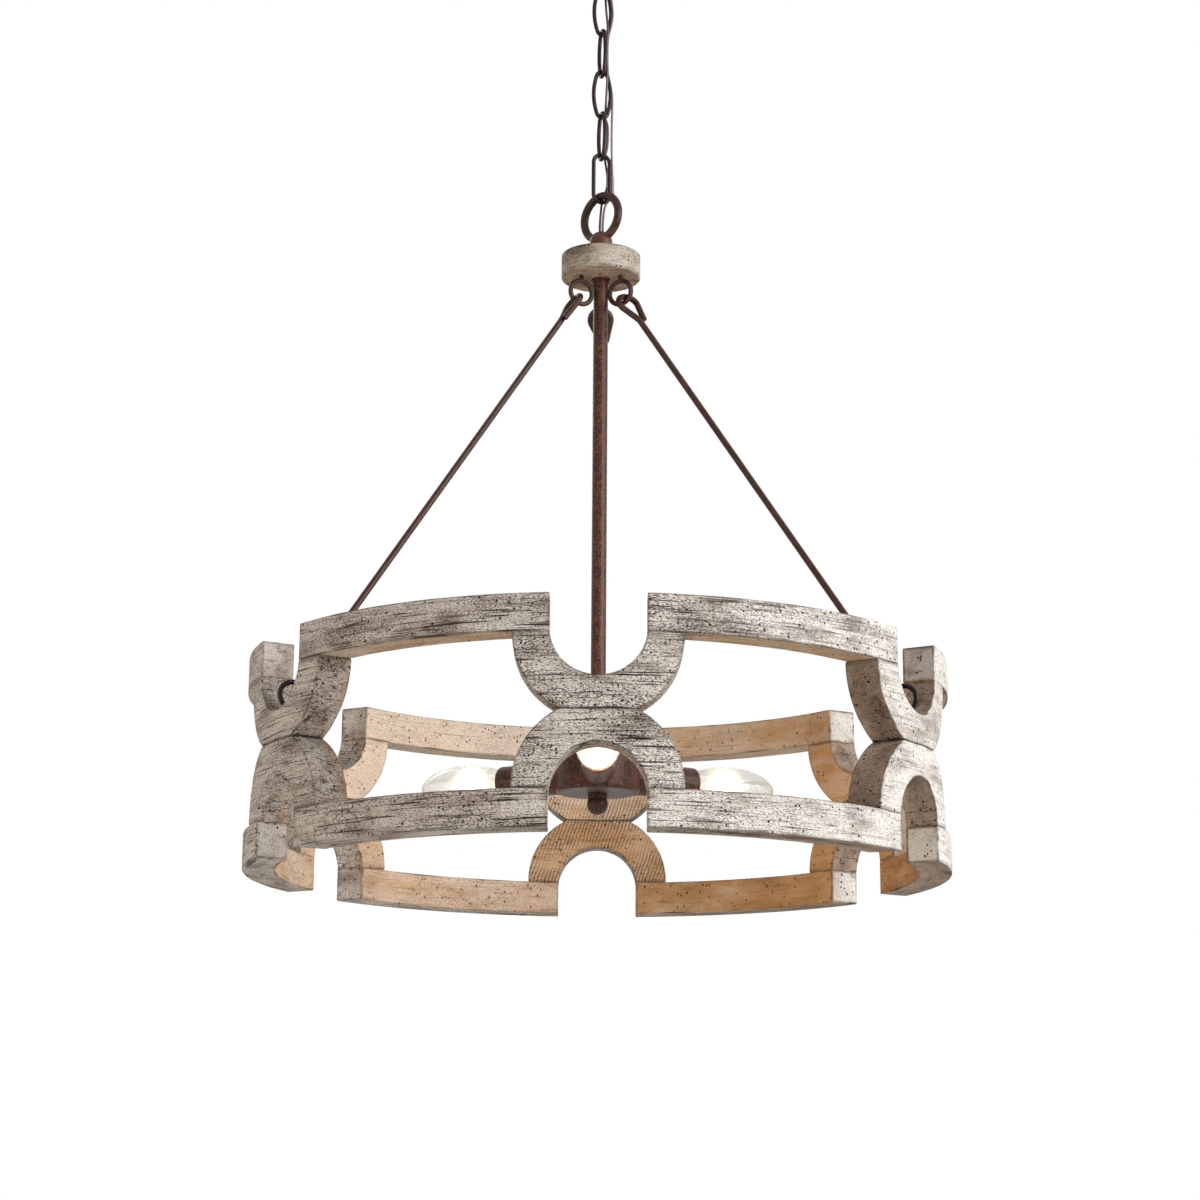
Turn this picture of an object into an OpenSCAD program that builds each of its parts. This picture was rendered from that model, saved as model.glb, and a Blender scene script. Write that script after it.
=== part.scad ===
// Chandelier: a ring of curved timber bars and arches, hung on three rods below a timber disc,
// with three candle lights on a central hub. Millimetres, +Z up, origin at the ceiling plane
// on the vertical axis. Posts are numbered anticlockwise from the one that faces -Y.

/* [Ceiling fitting] */
// Diameter of the canopy
canopy_d = 127; // [110:1:150]
// Depth of the canopy below the ceiling
canopy_h = 25; // [20:1:35]
// Thickness of the canopy's sheet metal
canopy_sheet = 1.2; // [0.8:0.1:2]
// Radius of the canopy's rounded shoulder
canopy_shoulder = 20; // [10:1:20]
// Diameter of the ring that holds the canopy up
collar_d = 34; // [31:0.5:40]
// Height of the ring that holds the canopy up
collar_h = 6; // [4:0.5:8]
// Diameter of the ceiling loop's threaded body
body_d = 25; // [24:0.5:28]
// Height of the ceiling loop's threaded body
body_h = 22; // [18:1:24]
// How far the threaded body shows below the ring
body_below = 8; // [6:0.5:12]
// Outer diameter of the threaded pipe above the loop
nipple_d = 9.5; // [9:0.1:10]
// Bore that the cord runs up through
cord_bore_d = 6.5; // [6.2:0.1:7]
// Length of the crossbar
crossbar_l = 117; // [105:1:117]
// Width of the crossbar
crossbar_w = 25; // [20:1:30]
// Thickness of the crossbar
crossbar_t = 1.6; // [1.2:0.1:2.5]
// Distance between the middles of the crossbar's slots
slot_spacing = 79.4; // [70:0.1:85]
// Length of each slot, end to end
slot_l = 14.1; // [10:0.1:16]
// Width of each slot
slot_w = 4.6; // [4.2:0.1:5.5]
// Thickness of the lock nut under the crossbar
lock_nut_t = 3.5; // [3:0.5:5]
// Width of the lock nut across its flats
lock_nut_w = 16; // [14:0.5:19]
// Shank diameter of the ground screw
ground_screw_d = 4; // [3.5:0.1:5]
// Distance of the ground screw from the axis
ground_screw_x = 24; // [20:1:28]

/* [Chain] */
// Wire diameter of the chain
wire_d = 3.8; // [3.4:0.1:4]
// Outer length of a link
link_l = 49.2; // [44:0.2:54]
// Outer width of a link
link_w = 20.3; // [19.6:0.1:22]
// Radius of a link's end, on the middle of its wire
link_end_r = 5.5; // [5.4:0.1:6.5]
// Outer length of the lowest link, which has straight sides
end_link_l = 50.4; // [46:0.2:56]
// Outer width of the lowest link
end_link_w = 19.4; // [19:0.1:21]
// Turn of the chain about the vertical axis
chain_turn = 20; // [0:1:40]
// Wire diameter of the ceiling loop
top_wire_d = 5.5; // [5:0.1:5.8]
// Outer width of the ceiling loop
top_loop_w = 24; // [22:0.5:24.5]
// Outer length of the ceiling loop
top_loop_l = 32; // [28:0.5:38]
// Play between linked pieces of wire
wire_gap = 0.3; // [0.2:0.05:0.5]

/* [Cord] */
// Diameter of one strand of the cord
strand_d = 2.2; // [1.8:0.1:2.3]
// Diameter of the sleeve on the outer strand
sleeve_d = 3.8; // [3.4:0.1:4]
// Length of the sleeve on the outer strand
sleeve_l = 16; // [10:1:18]

/* [Top of the fixture] */
// Outer diameter of the fixture's ring
ring_d = 49; // [44:1:54]
// Wire diameter of the fixture's ring
ring_wire_d = 7.5; // [6.8:0.1:7.8]
// Turn of the fixture's ring about the vertical axis
ring_turn = -42; // [-60:1:-40]
// Diameter of the domed foot under the ring
foot_d = 21; // [19:0.5:26]
// Height of the domed foot
foot_h = 23.9; // [21:0.1:28]
// How far the foot's dome rises above the middle of the ring's lowest wire
foot_rise = 6.7; // [5:0.05:9]
// Diameter of the timber disc
disc_d = 72; // [68:1:90]
// Thickness of the timber disc
disc_t = 22.4; // [19:0.1:28]
// Radius of the timber disc's eased lower edge
disc_edge = 2; // [1:0.5:3]
// Outer diameter of the stem
stem_d = 13.4; // [12.4:0.1:13.8]
// Wall thickness of the stem
stem_wall = 1.2; // [1:0.1:1.4]
// How far the stem screws into the foot
stem_in_foot = 8.2; // [6:0.1:10]
// Diameter of the collar on the stem that carries the timber disc
stem_collar_d = 17; // [15:0.5:24]
// Height of the collar on the stem
stem_collar_h = 2.5; // [2:0.5:5]

/* [Eyes and rods] */
// Outer diameter of an eye
eye_d = 26.4; // [24:0.2:28]
// Wire diameter of an eye
eye_wire_d = 4.4; // [3.8:0.1:4.6]
// Distance of the upper eyes from the axis
disc_eye_r = 20.5; // [19.8:0.1:22]
// Neck of an upper eye below the disc
disc_eye_neck = 2.9; // [1:0.1:6]
// Depth of an eye's screw in the wood
eye_screw_l = 15; // [10:0.5:18]
// Diameter of a rod
rod_d = 5.6; // [4.8:0.1:5.8]
// Radius of the round end of a rod's loop, on the middle of its wire
rod_loop_r = 9.4; // [9:0.1:9.8]
// Length of a rod's loop from the middle of its round end to where it closes
rod_loop_l = 30; // [27:0.5:36]
// Turn of the right rod about its own length
rod_swivel = 30; // [0:1:30]

/* [Timber ring] */
// Outer diameter of the timber ring
frame_d = 610; // [560:5:680]
// Thickness of the timber, outside to inside
timber_t = 28.5; // [27:0.5:34]
// Height of the timber ring
frame_h = 182.2; // [178:0.2:196]
// Height of a curved bar
bar_h = 30.2; // [26:0.2:32]
// Width of the opening inside a yoke or an arch
yoke_gap = 75.5; // [66:0.5:84]
// Timber between a yoke's opening and the middle of the ring
yoke_floor = 26; // [24:0.5:30]
// Radius of the outside of a yoke or an arch
yoke_r = 66.5; // [65:0.5:76]
// Height of that radius's middle above the middle of the timber ring
yoke_rise = 59.5; // [58:0.5:61]
// Drop from the underside of the timber disc to the middle of the timber ring
frame_drop = 456.4; // [400:1:520]

/* [Hub and lights] */
// Diameter of the hub
hub_d = 73.5; // [70:0.5:84]
// Height of the hub
hub_h = 50; // [44:1:60]
// Wall thickness of the hub
hub_wall = 1.5; // [1.2:0.1:2]
// Radius of the hub's shoulder
hub_shoulder = 26; // [20:0.5:27]
// Radius of the hub's rolled lower edge
hub_edge = 3.5; // [3:0.1:5]
// How far the hub hangs below the middle of the timber ring
hub_below = 17.5; // [10:0.5:30]
// Thickness of the plate that closes the hub
hub_plate_t = 1.5; // [1:0.1:2.5]
// Thickness of the nut that holds the hub on the stem
hub_nut_t = 5; // [4:0.5:7]
// Width of that nut across its flats
hub_nut_w = 19; // [17:0.5:24]
// Diameter of the finial's ball
finial_d = 18.6; // [16:0.2:24]
// Diameter of the finial's neck
finial_neck_d = 17; // [14:0.5:20]
// Height of the finial's neck
finial_neck_h = 5; // [2:0.5:6]
// Drop from the finial's neck to the middle of its ball
finial_drop = 4.6; // [4.6:0.1:8]
// Length of the finial's screw above its neck
finial_screw_l = 14; // [10:0.5:20]
// Height of the lights above the hub's lower edge
light_h = 16.5; // [15.5:0.5:20]
// Diameter of a socket cup
cup_d = 29; // [27:0.5:31]
// Wall thickness of a socket cup
cup_wall = 2.2; // [1.8:0.1:2.3]
// Distance of a socket cup's mouth from the axis
cup_reach = 98; // [96:1:112]
// Radius of the rounded edge at a cup's mouth
cup_edge = 1.8; // [1:0.1:1.8]
// Diameter of a socket inside its cup
core_d = 22; // [18:0.5:24]
// Depth of the socket's bore
core_bore_l = 22; // [18:0.5:24]
// Diameter of the hollow stub that holds a socket on the hub
stub_d = 9.5; // [9:0.1:10]
// Diameter of a bulb's screw base
base_d = 11.7; // [11.5:0.1:12]
// Widest diameter of a bulb
bulb_d = 36.8; // [34:0.2:40]
// Length of a bulb's glass
bulb_l = 99; // [90:1:108]
// Distance along the glass from its neck to its widest place
bulb_wide_at = 54; // [48:1:60]
// Wall thickness of a bulb's glass
glass_t = 0.8; // [0.6:0.1:1.2]

/* [Hidden] */
$fn = 64;
POSTS = 6;
LIGHTS = 3;

// Colours
rust = "#5a3d36";
dark_iron = "#2e2523";
whitewash = "#b3aca2";
pale_wood = "#a89f92";
steel_grey = "#8d8d8a";

// Clearances
play = 0.15;      // round a piece that slips into a hole
thread_play = 0.3; // round a bulb's base in its socket
eps = 0.01;
bead = 0.04;      // how much wider than its wire the ball is that joins two bent lengths

// Heights of the ceiling fitting
canopy_under = -canopy_h;
body_bottom = canopy_under - collar_h - body_below;
body_top = body_bottom + body_h;
top_wire_sink = 0.9;
top_loop_mid = body_bottom + top_wire_sink - (top_loop_l - top_wire_d) / 2;
nipple_in_body = 11;
nipple_bottom = body_top - nipple_in_body;

// Heights of the chain: each link's top wire rests on the wire of the piece above
link_span = link_l - wire_d;
end_link_span = end_link_l - wire_d;
hook_low = top_loop_mid - (top_loop_l - top_wire_d) / 2;
link_5_top = hook_low + (top_wire_d + wire_d) / 2 + wire_gap;
link_pitch = link_span - wire_d - wire_gap;
function link_top(n) = link_5_top - (5 - n) * link_pitch;
link_1_low = link_top(1) - end_link_span;
ring_top = link_1_low + (wire_d + ring_wire_d) / 2 + wire_gap;
ring_mid_r = (ring_d - ring_wire_d) / 2;
ring_mid = ring_top - ring_mid_r;

// Heights of the fixture
foot_top = ring_mid - ring_mid_r + foot_rise;
disc_top = foot_top - foot_h;
disc_under = disc_top - disc_t;
mid = disc_under - frame_drop;
stem_r = stem_d / 2;
stem_bore_r = stem_r - stem_wall;
stem_top = disc_top + stem_in_foot;
hub_low = mid - hub_below;
stem_low = hub_low + hub_plate_t;

// Timber ring
out_r = frame_d / 2;
in_r = out_r - timber_t;
post_r = out_r - timber_t / 2;
bar_low = frame_h / 2 - bar_h;
post_step = 360 / POSTS;

// Eyes and rods: (distance from the axis, height) in the plane of a post
eye_r = (eye_d - eye_wire_d) / 2;
disc_eye_z = disc_under - disc_eye_neck - eye_d / 2;
frame_eye_z = mid + yoke_floor + wire_gap + eye_d / 2;
hook_in = eye_r - eye_wire_d / 2 - rod_d / 2 - wire_gap;
rod_run = post_r - disc_eye_r;
rod_fall = disc_eye_z - frame_eye_z;
rod_lean = atan2(rod_run, rod_fall);
rod_span = norm([rod_run, rod_fall]) - 2 * hook_in;
tail_beside = 0.92; // where a loop's cut end lies beside the rod, in rod diameters

// Lights
light_z = hub_low + light_h;
mouth_in_cup = 15;  // depth of the socket's mouth inside its cup
core_floor = 3;     // socket behind its bore
core_mouth = cup_reach - mouth_in_cup;
core_back = core_mouth - core_bore_l - core_floor;
base_rim = 1;       // how much of a bulb's base shows outside the socket
glass_start = core_mouth + base_rim;
neck_over_base = 0.35; // how far the glass's neck stands out beside the base
glass_neck_r = base_d / 2 + neck_over_base;
swell_power = 0.85; // below 1 the glass widens sooner behind its neck
tip_taper = 0.06;   // above 0 the glass is slimmer than an ellipse at its tip
stub_head_r = 7;
hub_in_r = hub_d / 2 - hub_wall;
stub_head_out = sqrt(hub_in_r * hub_in_r - stub_head_r * stub_head_r) - 0.2;

// The cord's route down the chain, strand by strand: x, y and height
inner_route = [
    [-1.3, 0, -2], [-1.3, 0, -30], [-1.3, 0, -44], [-0.4, 2.2, -50], [1.5, 4.7, -56],
    [2.7, 5.6, -62], [2.9, 5.2, -70], [3.6, 1.6, -82], [4.6, -1.6, -94], [4.8, -2.6, -104],
    [4.4, -2.7, -114], [4.4, -2.7, -134], [4.8, -2.6, -144], [4.6, -1.6, -153], [4, 1.4, -165],
    [3.4, 4.2, -177], [3, 5.2, -185], [5.2, 3.2, -194], [5.7, 2.4, -206], [5, 4.2, -216],
    [3, 5.7, -225], [3.9, 6, -233], [5.2, 5.9, -242], [5.2, 5.9, -254], [3, 6.2, -261],
    [0.9, 6.1, -267], [0.2, 5.8, -272], [-0.4, 4, -279], [-1, 1.8, -288], [-1.3, 0.2, -296],
    [-1.3, 0, -302], [-1.3, 0, -330], [-1.3, 0, -560], [-1.3, 0, -780]
];
outer_route = [
    [1.3, 0, -2], [1.3, 0, -30], [1.3, 0, -43], [2.6, 1, -49], [4.9, 2.8, -55],
    [7, 4.9, -62], [8.8, 5.7, -70], [9.6, 6.2, -82], [8.3, 5.9, -92], [6.4, 5.3, -100],
    [5.3, 4, -108], [4.9, 2.2, -118], [4.9, 2.2, -130], [5.3, 4, -139], [6.4, 5.3, -147],
    [8.3, 5.9, -156], [9.6, 6.2, -166], [9.5, 6.1, -178], [9.3, 5.2, -188], [9.2, 3.6, -200],
    [9.2, 3.6, -212], [9.4, 5, -224], [9.8, 6.2, -234], [10, 6.4, -243], [10, 6.4, -261],
    [8.6, 6.8, -265], [5.6, 6, -269], [3.4, 5, -274], [2.2, 3.2, -281], [1.6, 1.4, -289],
    [1.3, 0.1, -296], [1.3, 0, -302], [1.3, 0, -330], [1.3, 0, -560], [1.3, 0, -780]
];
sleeve_xy = [10, 6.4];
sleeve_mid_z = -252;

// Points on an arc, from angle a to angle b in n steps
function arc(c, r, a, b, n = 8) = [for (i = [0:n]) c + r * [cos(a + (b - a) * i / n), sin(a + (b - a) * i / n)]];

// Everything at a post, or at an angle about the axis, is drawn facing -Y and turned
module at_post(n) { rotate([0, 0, (n - 1) * post_step]) children(); }

// A straight round bar between two points of the XZ plane
module bar_xz(a, b, d) {
    run = b - a;
    translate([a[0], 0, a[1]]) rotate([0, atan2(run[0], run[1]), 0]) cylinder(d = d, h = norm(run));
}

// Part of a ring of round wire in the XZ plane, about the point c, from angle a through sweep
module wire_arc(c, r, a, sweep, d) {
    translate([c[0], 0, c[1]]) rotate([90, 0, 0])
        rotate_extrude(start = a, angle = sweep) translate([r, 0]) circle(d = d);
}

// The ball at a joint of two bent lengths of wire
module joint(x, z, d) { translate([x, 0, z]) sphere(d = d + bead); }

// A link with bowed sides, about its own middle
module oval_link(l, w, end_r, d) {
    half_l = (l - d) / 2;
    half_w = (w - d) / 2;
    rise = half_l - end_r;
    side_r = (rise * rise + half_w * half_w - end_r * end_r) / (2 * (half_w - end_r));
    lean = asin(rise / (side_r - end_r));
    for (side = [0, 180]) rotate([0, side, 0]) {
        wire_arc([half_w - side_r, 0], side_r, -lean, 2 * lean, d);
        wire_arc([0, rise], end_r, lean, 180 - 2 * lean, d);
        for (x = [-1, 1]) joint(x * end_r * cos(lean), rise + end_r * sin(lean), d);
    }
}

// A link with straight sides, about its own middle
module long_link(l, w, d) {
    half_w = (w - d) / 2;
    rise = (l - w) / 2;
    for (side = [0, 180]) rotate([0, side, 0]) {
        wire_arc([0, rise], half_w, 0, 180, d);
        bar_xz([half_w, -rise], [half_w, rise], d);
        for (x = [-half_w, half_w]) joint(x, rise, d);
    }
}

// A six-sided nut with its bore, from the height z up
module hex_nut(z, t, w, bore) {
    difference() {
        translate([0, 0, z]) cylinder(d = w / cos(30), h = t, $fn = 6);
        translate([0, 0, z - 1]) cylinder(d = bore, h = t + 2);
    }
}

// A tube swept along a route: rings of points square to the path, joined into one closed skin
module strand(route, d, sides = 8) {
    last = len(route) - 1;
    function along(i) =
        let (v = route[min(i + 1, last)] - route[max(i - 1, 0)]) v / norm(v);
    function across(t) = let (v = cross(t, [0, 1, 0])) v / norm(v);
    points = [for (i = [0:last], j = [0:sides - 1])
        let (t = along(i), u = across(t), v = cross(t, u), a = 360 * j / sides)
        route[i] + d / 2 * (cos(a) * u + sin(a) * v)];
    skin = [for (i = [0:last - 1], j = [0:sides - 1])
        let (a = i * sides + j, b = i * sides + (j + 1) % sides)
        each [[a, b, b + sides], [a, b + sides, a + sides]]];
    caps = [for (j = [1:sides - 2]) each
        [[0, j + 1, j], [last * sides, last * sides + j, last * sides + j + 1]]];
    polyhedron(points, concat(skin, caps));
}

// Ceiling fitting

module canopy() {
    shoulder_at = canopy_d / 2 - canopy_shoulder;
    drop = canopy_under + canopy_shoulder;
    hole_r = body_d / 2 + play;
    color(rust) rotate_extrude() polygon(concat(
        [[canopy_d / 2 - canopy_sheet, 0], [canopy_d / 2, 0]],
        arc([shoulder_at, drop], canopy_shoulder, 0, -90),
        [[hole_r, canopy_under], [hole_r, canopy_under + canopy_sheet]],
        arc([shoulder_at, drop], canopy_shoulder - canopy_sheet, -90, 0)
    ));
}

module collar_ring() {
    chamfer = 1;
    inside = body_d / 2 + play;
    outside = collar_d / 2;
    low = canopy_under - collar_h;
    color(rust) rotate_extrude() polygon([
        [inside, low], [outside - chamfer, low], [outside, low + chamfer],
        [outside, canopy_under - chamfer], [outside - chamfer, canopy_under], [inside, canopy_under]
    ]);
}

module canopy_loop() {
    color(rust) difference() {
        union() {
            translate([0, 0, body_bottom]) cylinder(d = body_d, h = body_h);
            translate([0, 0, top_loop_mid]) rotate([0, 0, chain_turn + 90])
                long_link(top_loop_l, top_loop_w, top_wire_d);
        }
        translate([0, 0, body_bottom - top_wire_d]) cylinder(d = cord_bore_d, h = body_h + top_wire_d + 1);
        translate([0, 0, nipple_bottom]) cylinder(d = nipple_d + 2 * play, h = nipple_in_body + 1);
    }
}

module nipple() {
    color(steel_grey) difference() {
        translate([0, 0, nipple_bottom]) cylinder(d = nipple_d, h = -nipple_bottom);
        translate([0, 0, nipple_bottom - 1]) cylinder(d = cord_bore_d, h = 2 - nipple_bottom);
    }
}

module lock_nut() {
    color(steel_grey) hex_nut(-crossbar_t - lock_nut_t, lock_nut_t, lock_nut_w, nipple_d + 2 * play);
}

module slot() {
    run = slot_l - slot_w;
    for (x = [-run / 2, run / 2]) translate([x, 0, 0]) cylinder(d = slot_w, h = crossbar_t + 2);
    translate([-run / 2, -slot_w / 2, 0]) cube([run, slot_w, crossbar_t + 2]);
}

module crossbar() {
    corner = 3;
    color(steel_grey) difference() {
        translate([0, 0, -crossbar_t]) union() {
            translate([-crossbar_l / 2 + corner, -crossbar_w / 2, 0])
                cube([crossbar_l - 2 * corner, crossbar_w, crossbar_t]);
            translate([-crossbar_l / 2, -crossbar_w / 2 + corner, 0])
                cube([crossbar_l, crossbar_w - 2 * corner, crossbar_t]);
            for (x = [-1, 1], y = [-1, 1])
                translate([x * (crossbar_l / 2 - corner), y * (crossbar_w / 2 - corner), 0])
                    cylinder(r = corner, h = crossbar_t);
        }
        translate([0, 0, -crossbar_t - 1]) cylinder(d = nipple_d + 2 * play, h = crossbar_t + 2);
        translate([ground_screw_x, 0, -crossbar_t - 1])
            cylinder(d = ground_screw_d + 2 * play, h = crossbar_t + 2);
        for (x = [-1, 1]) translate([x * slot_spacing / 2, 0, -crossbar_t - 1]) slot();
    }
}

module ground_screw() {
    head_t = 2.4;
    shank_below = 4;
    color("#3f6b45") translate([ground_screw_x, 0, 0]) {
        translate([0, 0, -crossbar_t - shank_below]) cylinder(d = ground_screw_d, h = crossbar_t + shank_below);
        translate([0, 0, -crossbar_t - head_t]) cylinder(d = 2 * ground_screw_d, h = head_t);
    }
}

// Chain and cord

module link(n) {
    turn = chain_turn + (n % 2 == 1 ? 0 : 90);
    color(dark_iron) rotate([0, 0, turn])
        if (n == 1) translate([0, 0, link_top(1) - end_link_span / 2]) long_link(end_link_l, end_link_w, wire_d);
        else translate([0, 0, link_top(n) - link_span / 2]) oval_link(link_l, link_w, link_end_r, wire_d);
}

module cord_strand_inner() { color("#6b4a45") strand(inner_route, strand_d); }

module cord_strand_outer() { color("#8a7774") strand(outer_route, strand_d); }

module cord_sleeve() {
    color("#8f8384") translate([sleeve_xy[0], sleeve_xy[1], sleeve_mid_z - sleeve_l / 2])
        difference() {
            cylinder(d = sleeve_d, h = sleeve_l);
            translate([0, 0, -1]) cylinder(d = strand_d + 0.2, h = sleeve_l + 2);
        }
}

// Top of the fixture

module fixture_loop() {
    dome_r = foot_d / 2;
    color(rust) difference() {
        union() {
            translate([0, 0, ring_mid]) rotate([90, 0, ring_turn])
                rotate_extrude() translate([ring_mid_r, 0]) circle(d = ring_wire_d);
            translate([0, 0, disc_top]) cylinder(r = dome_r, h = foot_h - dome_r);
            difference() {
                translate([0, 0, foot_top - dome_r]) sphere(r = dome_r);
                translate([-foot_d, -foot_d, foot_top - 2 * dome_r - 1]) cube([2 * foot_d, 2 * foot_d, dome_r + 1]);
            }
        }
        translate([0, 0, disc_top - 1]) cylinder(d = cord_bore_d, h = foot_h + ring_wire_d);
        translate([0, 0, disc_top - 1]) cylinder(r = stem_r + play, h = stem_in_foot + 1);
    }
}

module wood_disc() {
    top_edge = disc_edge / 2;
    hole_r = stem_r + play;
    color(whitewash) difference() {
        rotate_extrude() polygon(concat(
            [[hole_r, disc_under]],
            arc([disc_d / 2 - disc_edge, disc_under + disc_edge], disc_edge, -90, 0),
            arc([disc_d / 2 - top_edge, disc_top - top_edge], top_edge, 0, 90),
            [[hole_r, disc_top]]
        ));
        for (n = [2, 4, 6]) at_post(n) translate([0, -disc_eye_r, disc_under - 1])
            cylinder(d = eye_wire_d + 2 * play, h = eye_screw_l + 1.2);
    }
}

module stem() {
    color(rust) difference() {
        translate([0, 0, stem_low]) cylinder(r = stem_r, h = stem_top - stem_low);
        translate([0, 0, stem_low - 1]) cylinder(r = stem_bore_r, h = stem_top - stem_low + 2);
    }
}

module stem_collar() {
    color(rust) difference() {
        translate([0, 0, disc_under - stem_collar_h]) cylinder(d = stem_collar_d, h = stem_collar_h);
        translate([0, 0, disc_under - stem_collar_h - 1]) cylinder(r = stem_r + play, h = stem_collar_h + 2);
    }
}

// An eye whose ring stands in the plane of its post, with its screw going up or down
module eye(r, z, screw_up, neck) {
    way = screw_up ? 1 : -1;
    translate([0, -r, z]) rotate([0, 0, 90]) {
        rotate([90, 0, 0]) rotate_extrude() translate([eye_r, 0]) circle(d = eye_wire_d);
        bar_xz([0, way * eye_r], [0, way * (eye_d / 2 + neck + eye_screw_l)], eye_wire_d);
    }
}

module disc_eyes() {
    color(rust) for (n = [2, 4, 6]) at_post(n) eye(disc_eye_r, disc_eye_z, true, disc_eye_neck);
}

module frame_eyes() {
    color(dark_iron) for (n = [2, 4, 6]) at_post(n) eye(post_r, frame_eye_z, false, wire_gap);
}

// Rods

// The loop at a rod's end: the wire leaves the rod's axis, runs round and comes back beside it
module rod_end() {
    c = [0, rod_loop_r];
    neck = [0, rod_loop_l];
    tail = [tail_beside * rod_d, rod_loop_l];
    // Where a line from the point q touches the round end, as an angle about its middle
    function touch(q, side) =
        let (v = q - c) atan2(v[1], v[0]) + side * acos(rod_loop_r / norm(v));
    function on_round(a) = c + rod_loop_r * [cos(a), sin(a)];
    leave = touch(neck, 1);
    back = touch(tail, -1);
    wire_arc(c, rod_loop_r, leave, 360 + back - leave, rod_d);
    bar_xz(on_round(leave), neck, rod_d);
    bar_xz(on_round(back), tail, rod_d);
    for (p = [on_round(leave), on_round(back), neck]) joint(p[0], p[1], rod_d);
}

module rod(n, swivel) {
    color(rust) at_post(n) translate([0, -disc_eye_r - hook_in * sin(rod_lean), disc_eye_z - hook_in * cos(rod_lean)])
        rotate([180 - rod_lean, 0, 0]) {
            rotate([0, 0, swivel]) rod_end();
            translate([0, 0, rod_span]) rotate([0, 180, 0]) rod_end();
            translate([0, 0, rod_loop_l]) cylinder(d = rod_d, h = rod_span - 2 * rod_loop_l);
        }
}

// Timber ring

module timber_band(low, high) {
    difference() {
        translate([0, 0, low]) cylinder(r = out_r, h = high - low, $fn = 180);
        translate([0, 0, low - 1]) cylinder(r = in_r, h = high - low + 2, $fn = 180);
    }
}

// A curved bar from the opening at post n to the opening at the next post
module bar(n, low) {
    apex = yoke_gap / 2 / sin(post_step / 2);
    reach = 2 * out_r;
    function way(a) = [sin(a), -cos(a)];
    start = apex * way(post_step / 2);
    color(whitewash) at_post(n) intersection() {
        timber_band(low, low + bar_h);
        translate([0, 0, low - 1]) linear_extrude(bar_h + 2)
            polygon([start, start + reach * way(0), start + reach * way(post_step)]);
    }
}

module upper_bar(n) { bar(n, mid + bar_low); }

module lower_bar(n) { bar(n, mid - frame_h / 2); }

// The outline of a yoke seen from outside, standing on the middle of the timber ring
module yoke_outline() {
    difference() {
        intersection() {
            translate([0, yoke_rise]) circle(r = yoke_r, $fn = 96);
            translate([-yoke_r - 1, 0]) square([2 * yoke_r + 2, bar_low]);
        }
        translate([0, yoke_floor + yoke_gap / 2]) circle(d = yoke_gap, $fn = 96);
        translate([-yoke_gap / 2, yoke_floor + yoke_gap / 2]) square([yoke_gap, frame_h]);
    }
}

module yoke_solid() {
    intersection() {
        timber_band(-1, bar_low + 1);
        rotate([90, 0, 0]) linear_extrude(out_r + 5) yoke_outline();
    }
}

module upper_yoke(n) {
    color(whitewash) at_post(n) difference() {
        translate([0, 0, mid]) yoke_solid();
        if (n % 2 == 0) translate([0, -post_r, mid + yoke_floor - eye_screw_l])
            cylinder(d = eye_wire_d + 2 * play, h = eye_screw_l + 2);
    }
}

module lower_arch(n) { color(pale_wood) at_post(n) translate([0, 0, mid]) mirror([0, 0, 1]) yoke_solid(); }

// Hub

// The hub's skin in section, from its lower edge up to its top, moved inwards by the value given
function dome_profile(inwards) = let (
    shoulder_c = [hub_d / 2 - hub_shoulder, hub_low + hub_h - hub_shoulder],
    edge_c = [hub_d / 2 - hub_edge, hub_low + hub_edge]
) concat(arc(edge_c, hub_edge - inwards, -90, 0, 6), arc(shoulder_c, hub_shoulder - inwards, 0, 90, 12));

module hub_dome() {
    hole_r = stem_r + play;
    inside = dome_profile(hub_wall);
    color(rust) difference() {
        rotate_extrude() polygon(concat(
            dome_profile(0),
            [[hole_r, hub_low + hub_h], [hole_r, hub_low + hub_h - hub_wall]],
            [for (i = [len(inside) - 1:-1:0]) inside[i]]
        ));
        for (n = [1, 3, 5]) at_post(n) translate([0, 0, light_z]) rotate([90, 0, 0])
            cylinder(d = stub_d + 0.4, h = hub_d);
    }
}

module hub_plate() {
    edge_r = hub_d / 2 - hub_edge - play;
    color(steel_grey) difference() {
        translate([0, 0, hub_low]) cylinder(r = edge_r, h = hub_plate_t);
        translate([0, 0, hub_low - 1]) cylinder(r = stem_bore_r, h = hub_plate_t + 2);
    }
}

module hub_nut() {
    color(steel_grey) hex_nut(hub_low + hub_h - hub_wall - hub_nut_t, hub_nut_t, hub_nut_w, stem_d + 2 * play);
}

module finial() {
    neck_low = hub_low - finial_neck_h;
    color(rust) {
        translate([0, 0, neck_low - finial_drop]) sphere(d = finial_d);
        translate([0, 0, neck_low]) cylinder(d = finial_neck_d, h = finial_neck_h);
        translate([0, 0, neck_low]) cylinder(r = stem_bore_r - play, h = finial_neck_h + finial_screw_l);
    }
}

// Lights: each is drawn along +Z from the axis and laid over to point outwards at its post

module at_light(k) { at_post(2 * k - 1) translate([0, 0, light_z]) rotate([90, 0, 0]) children(); }

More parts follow.
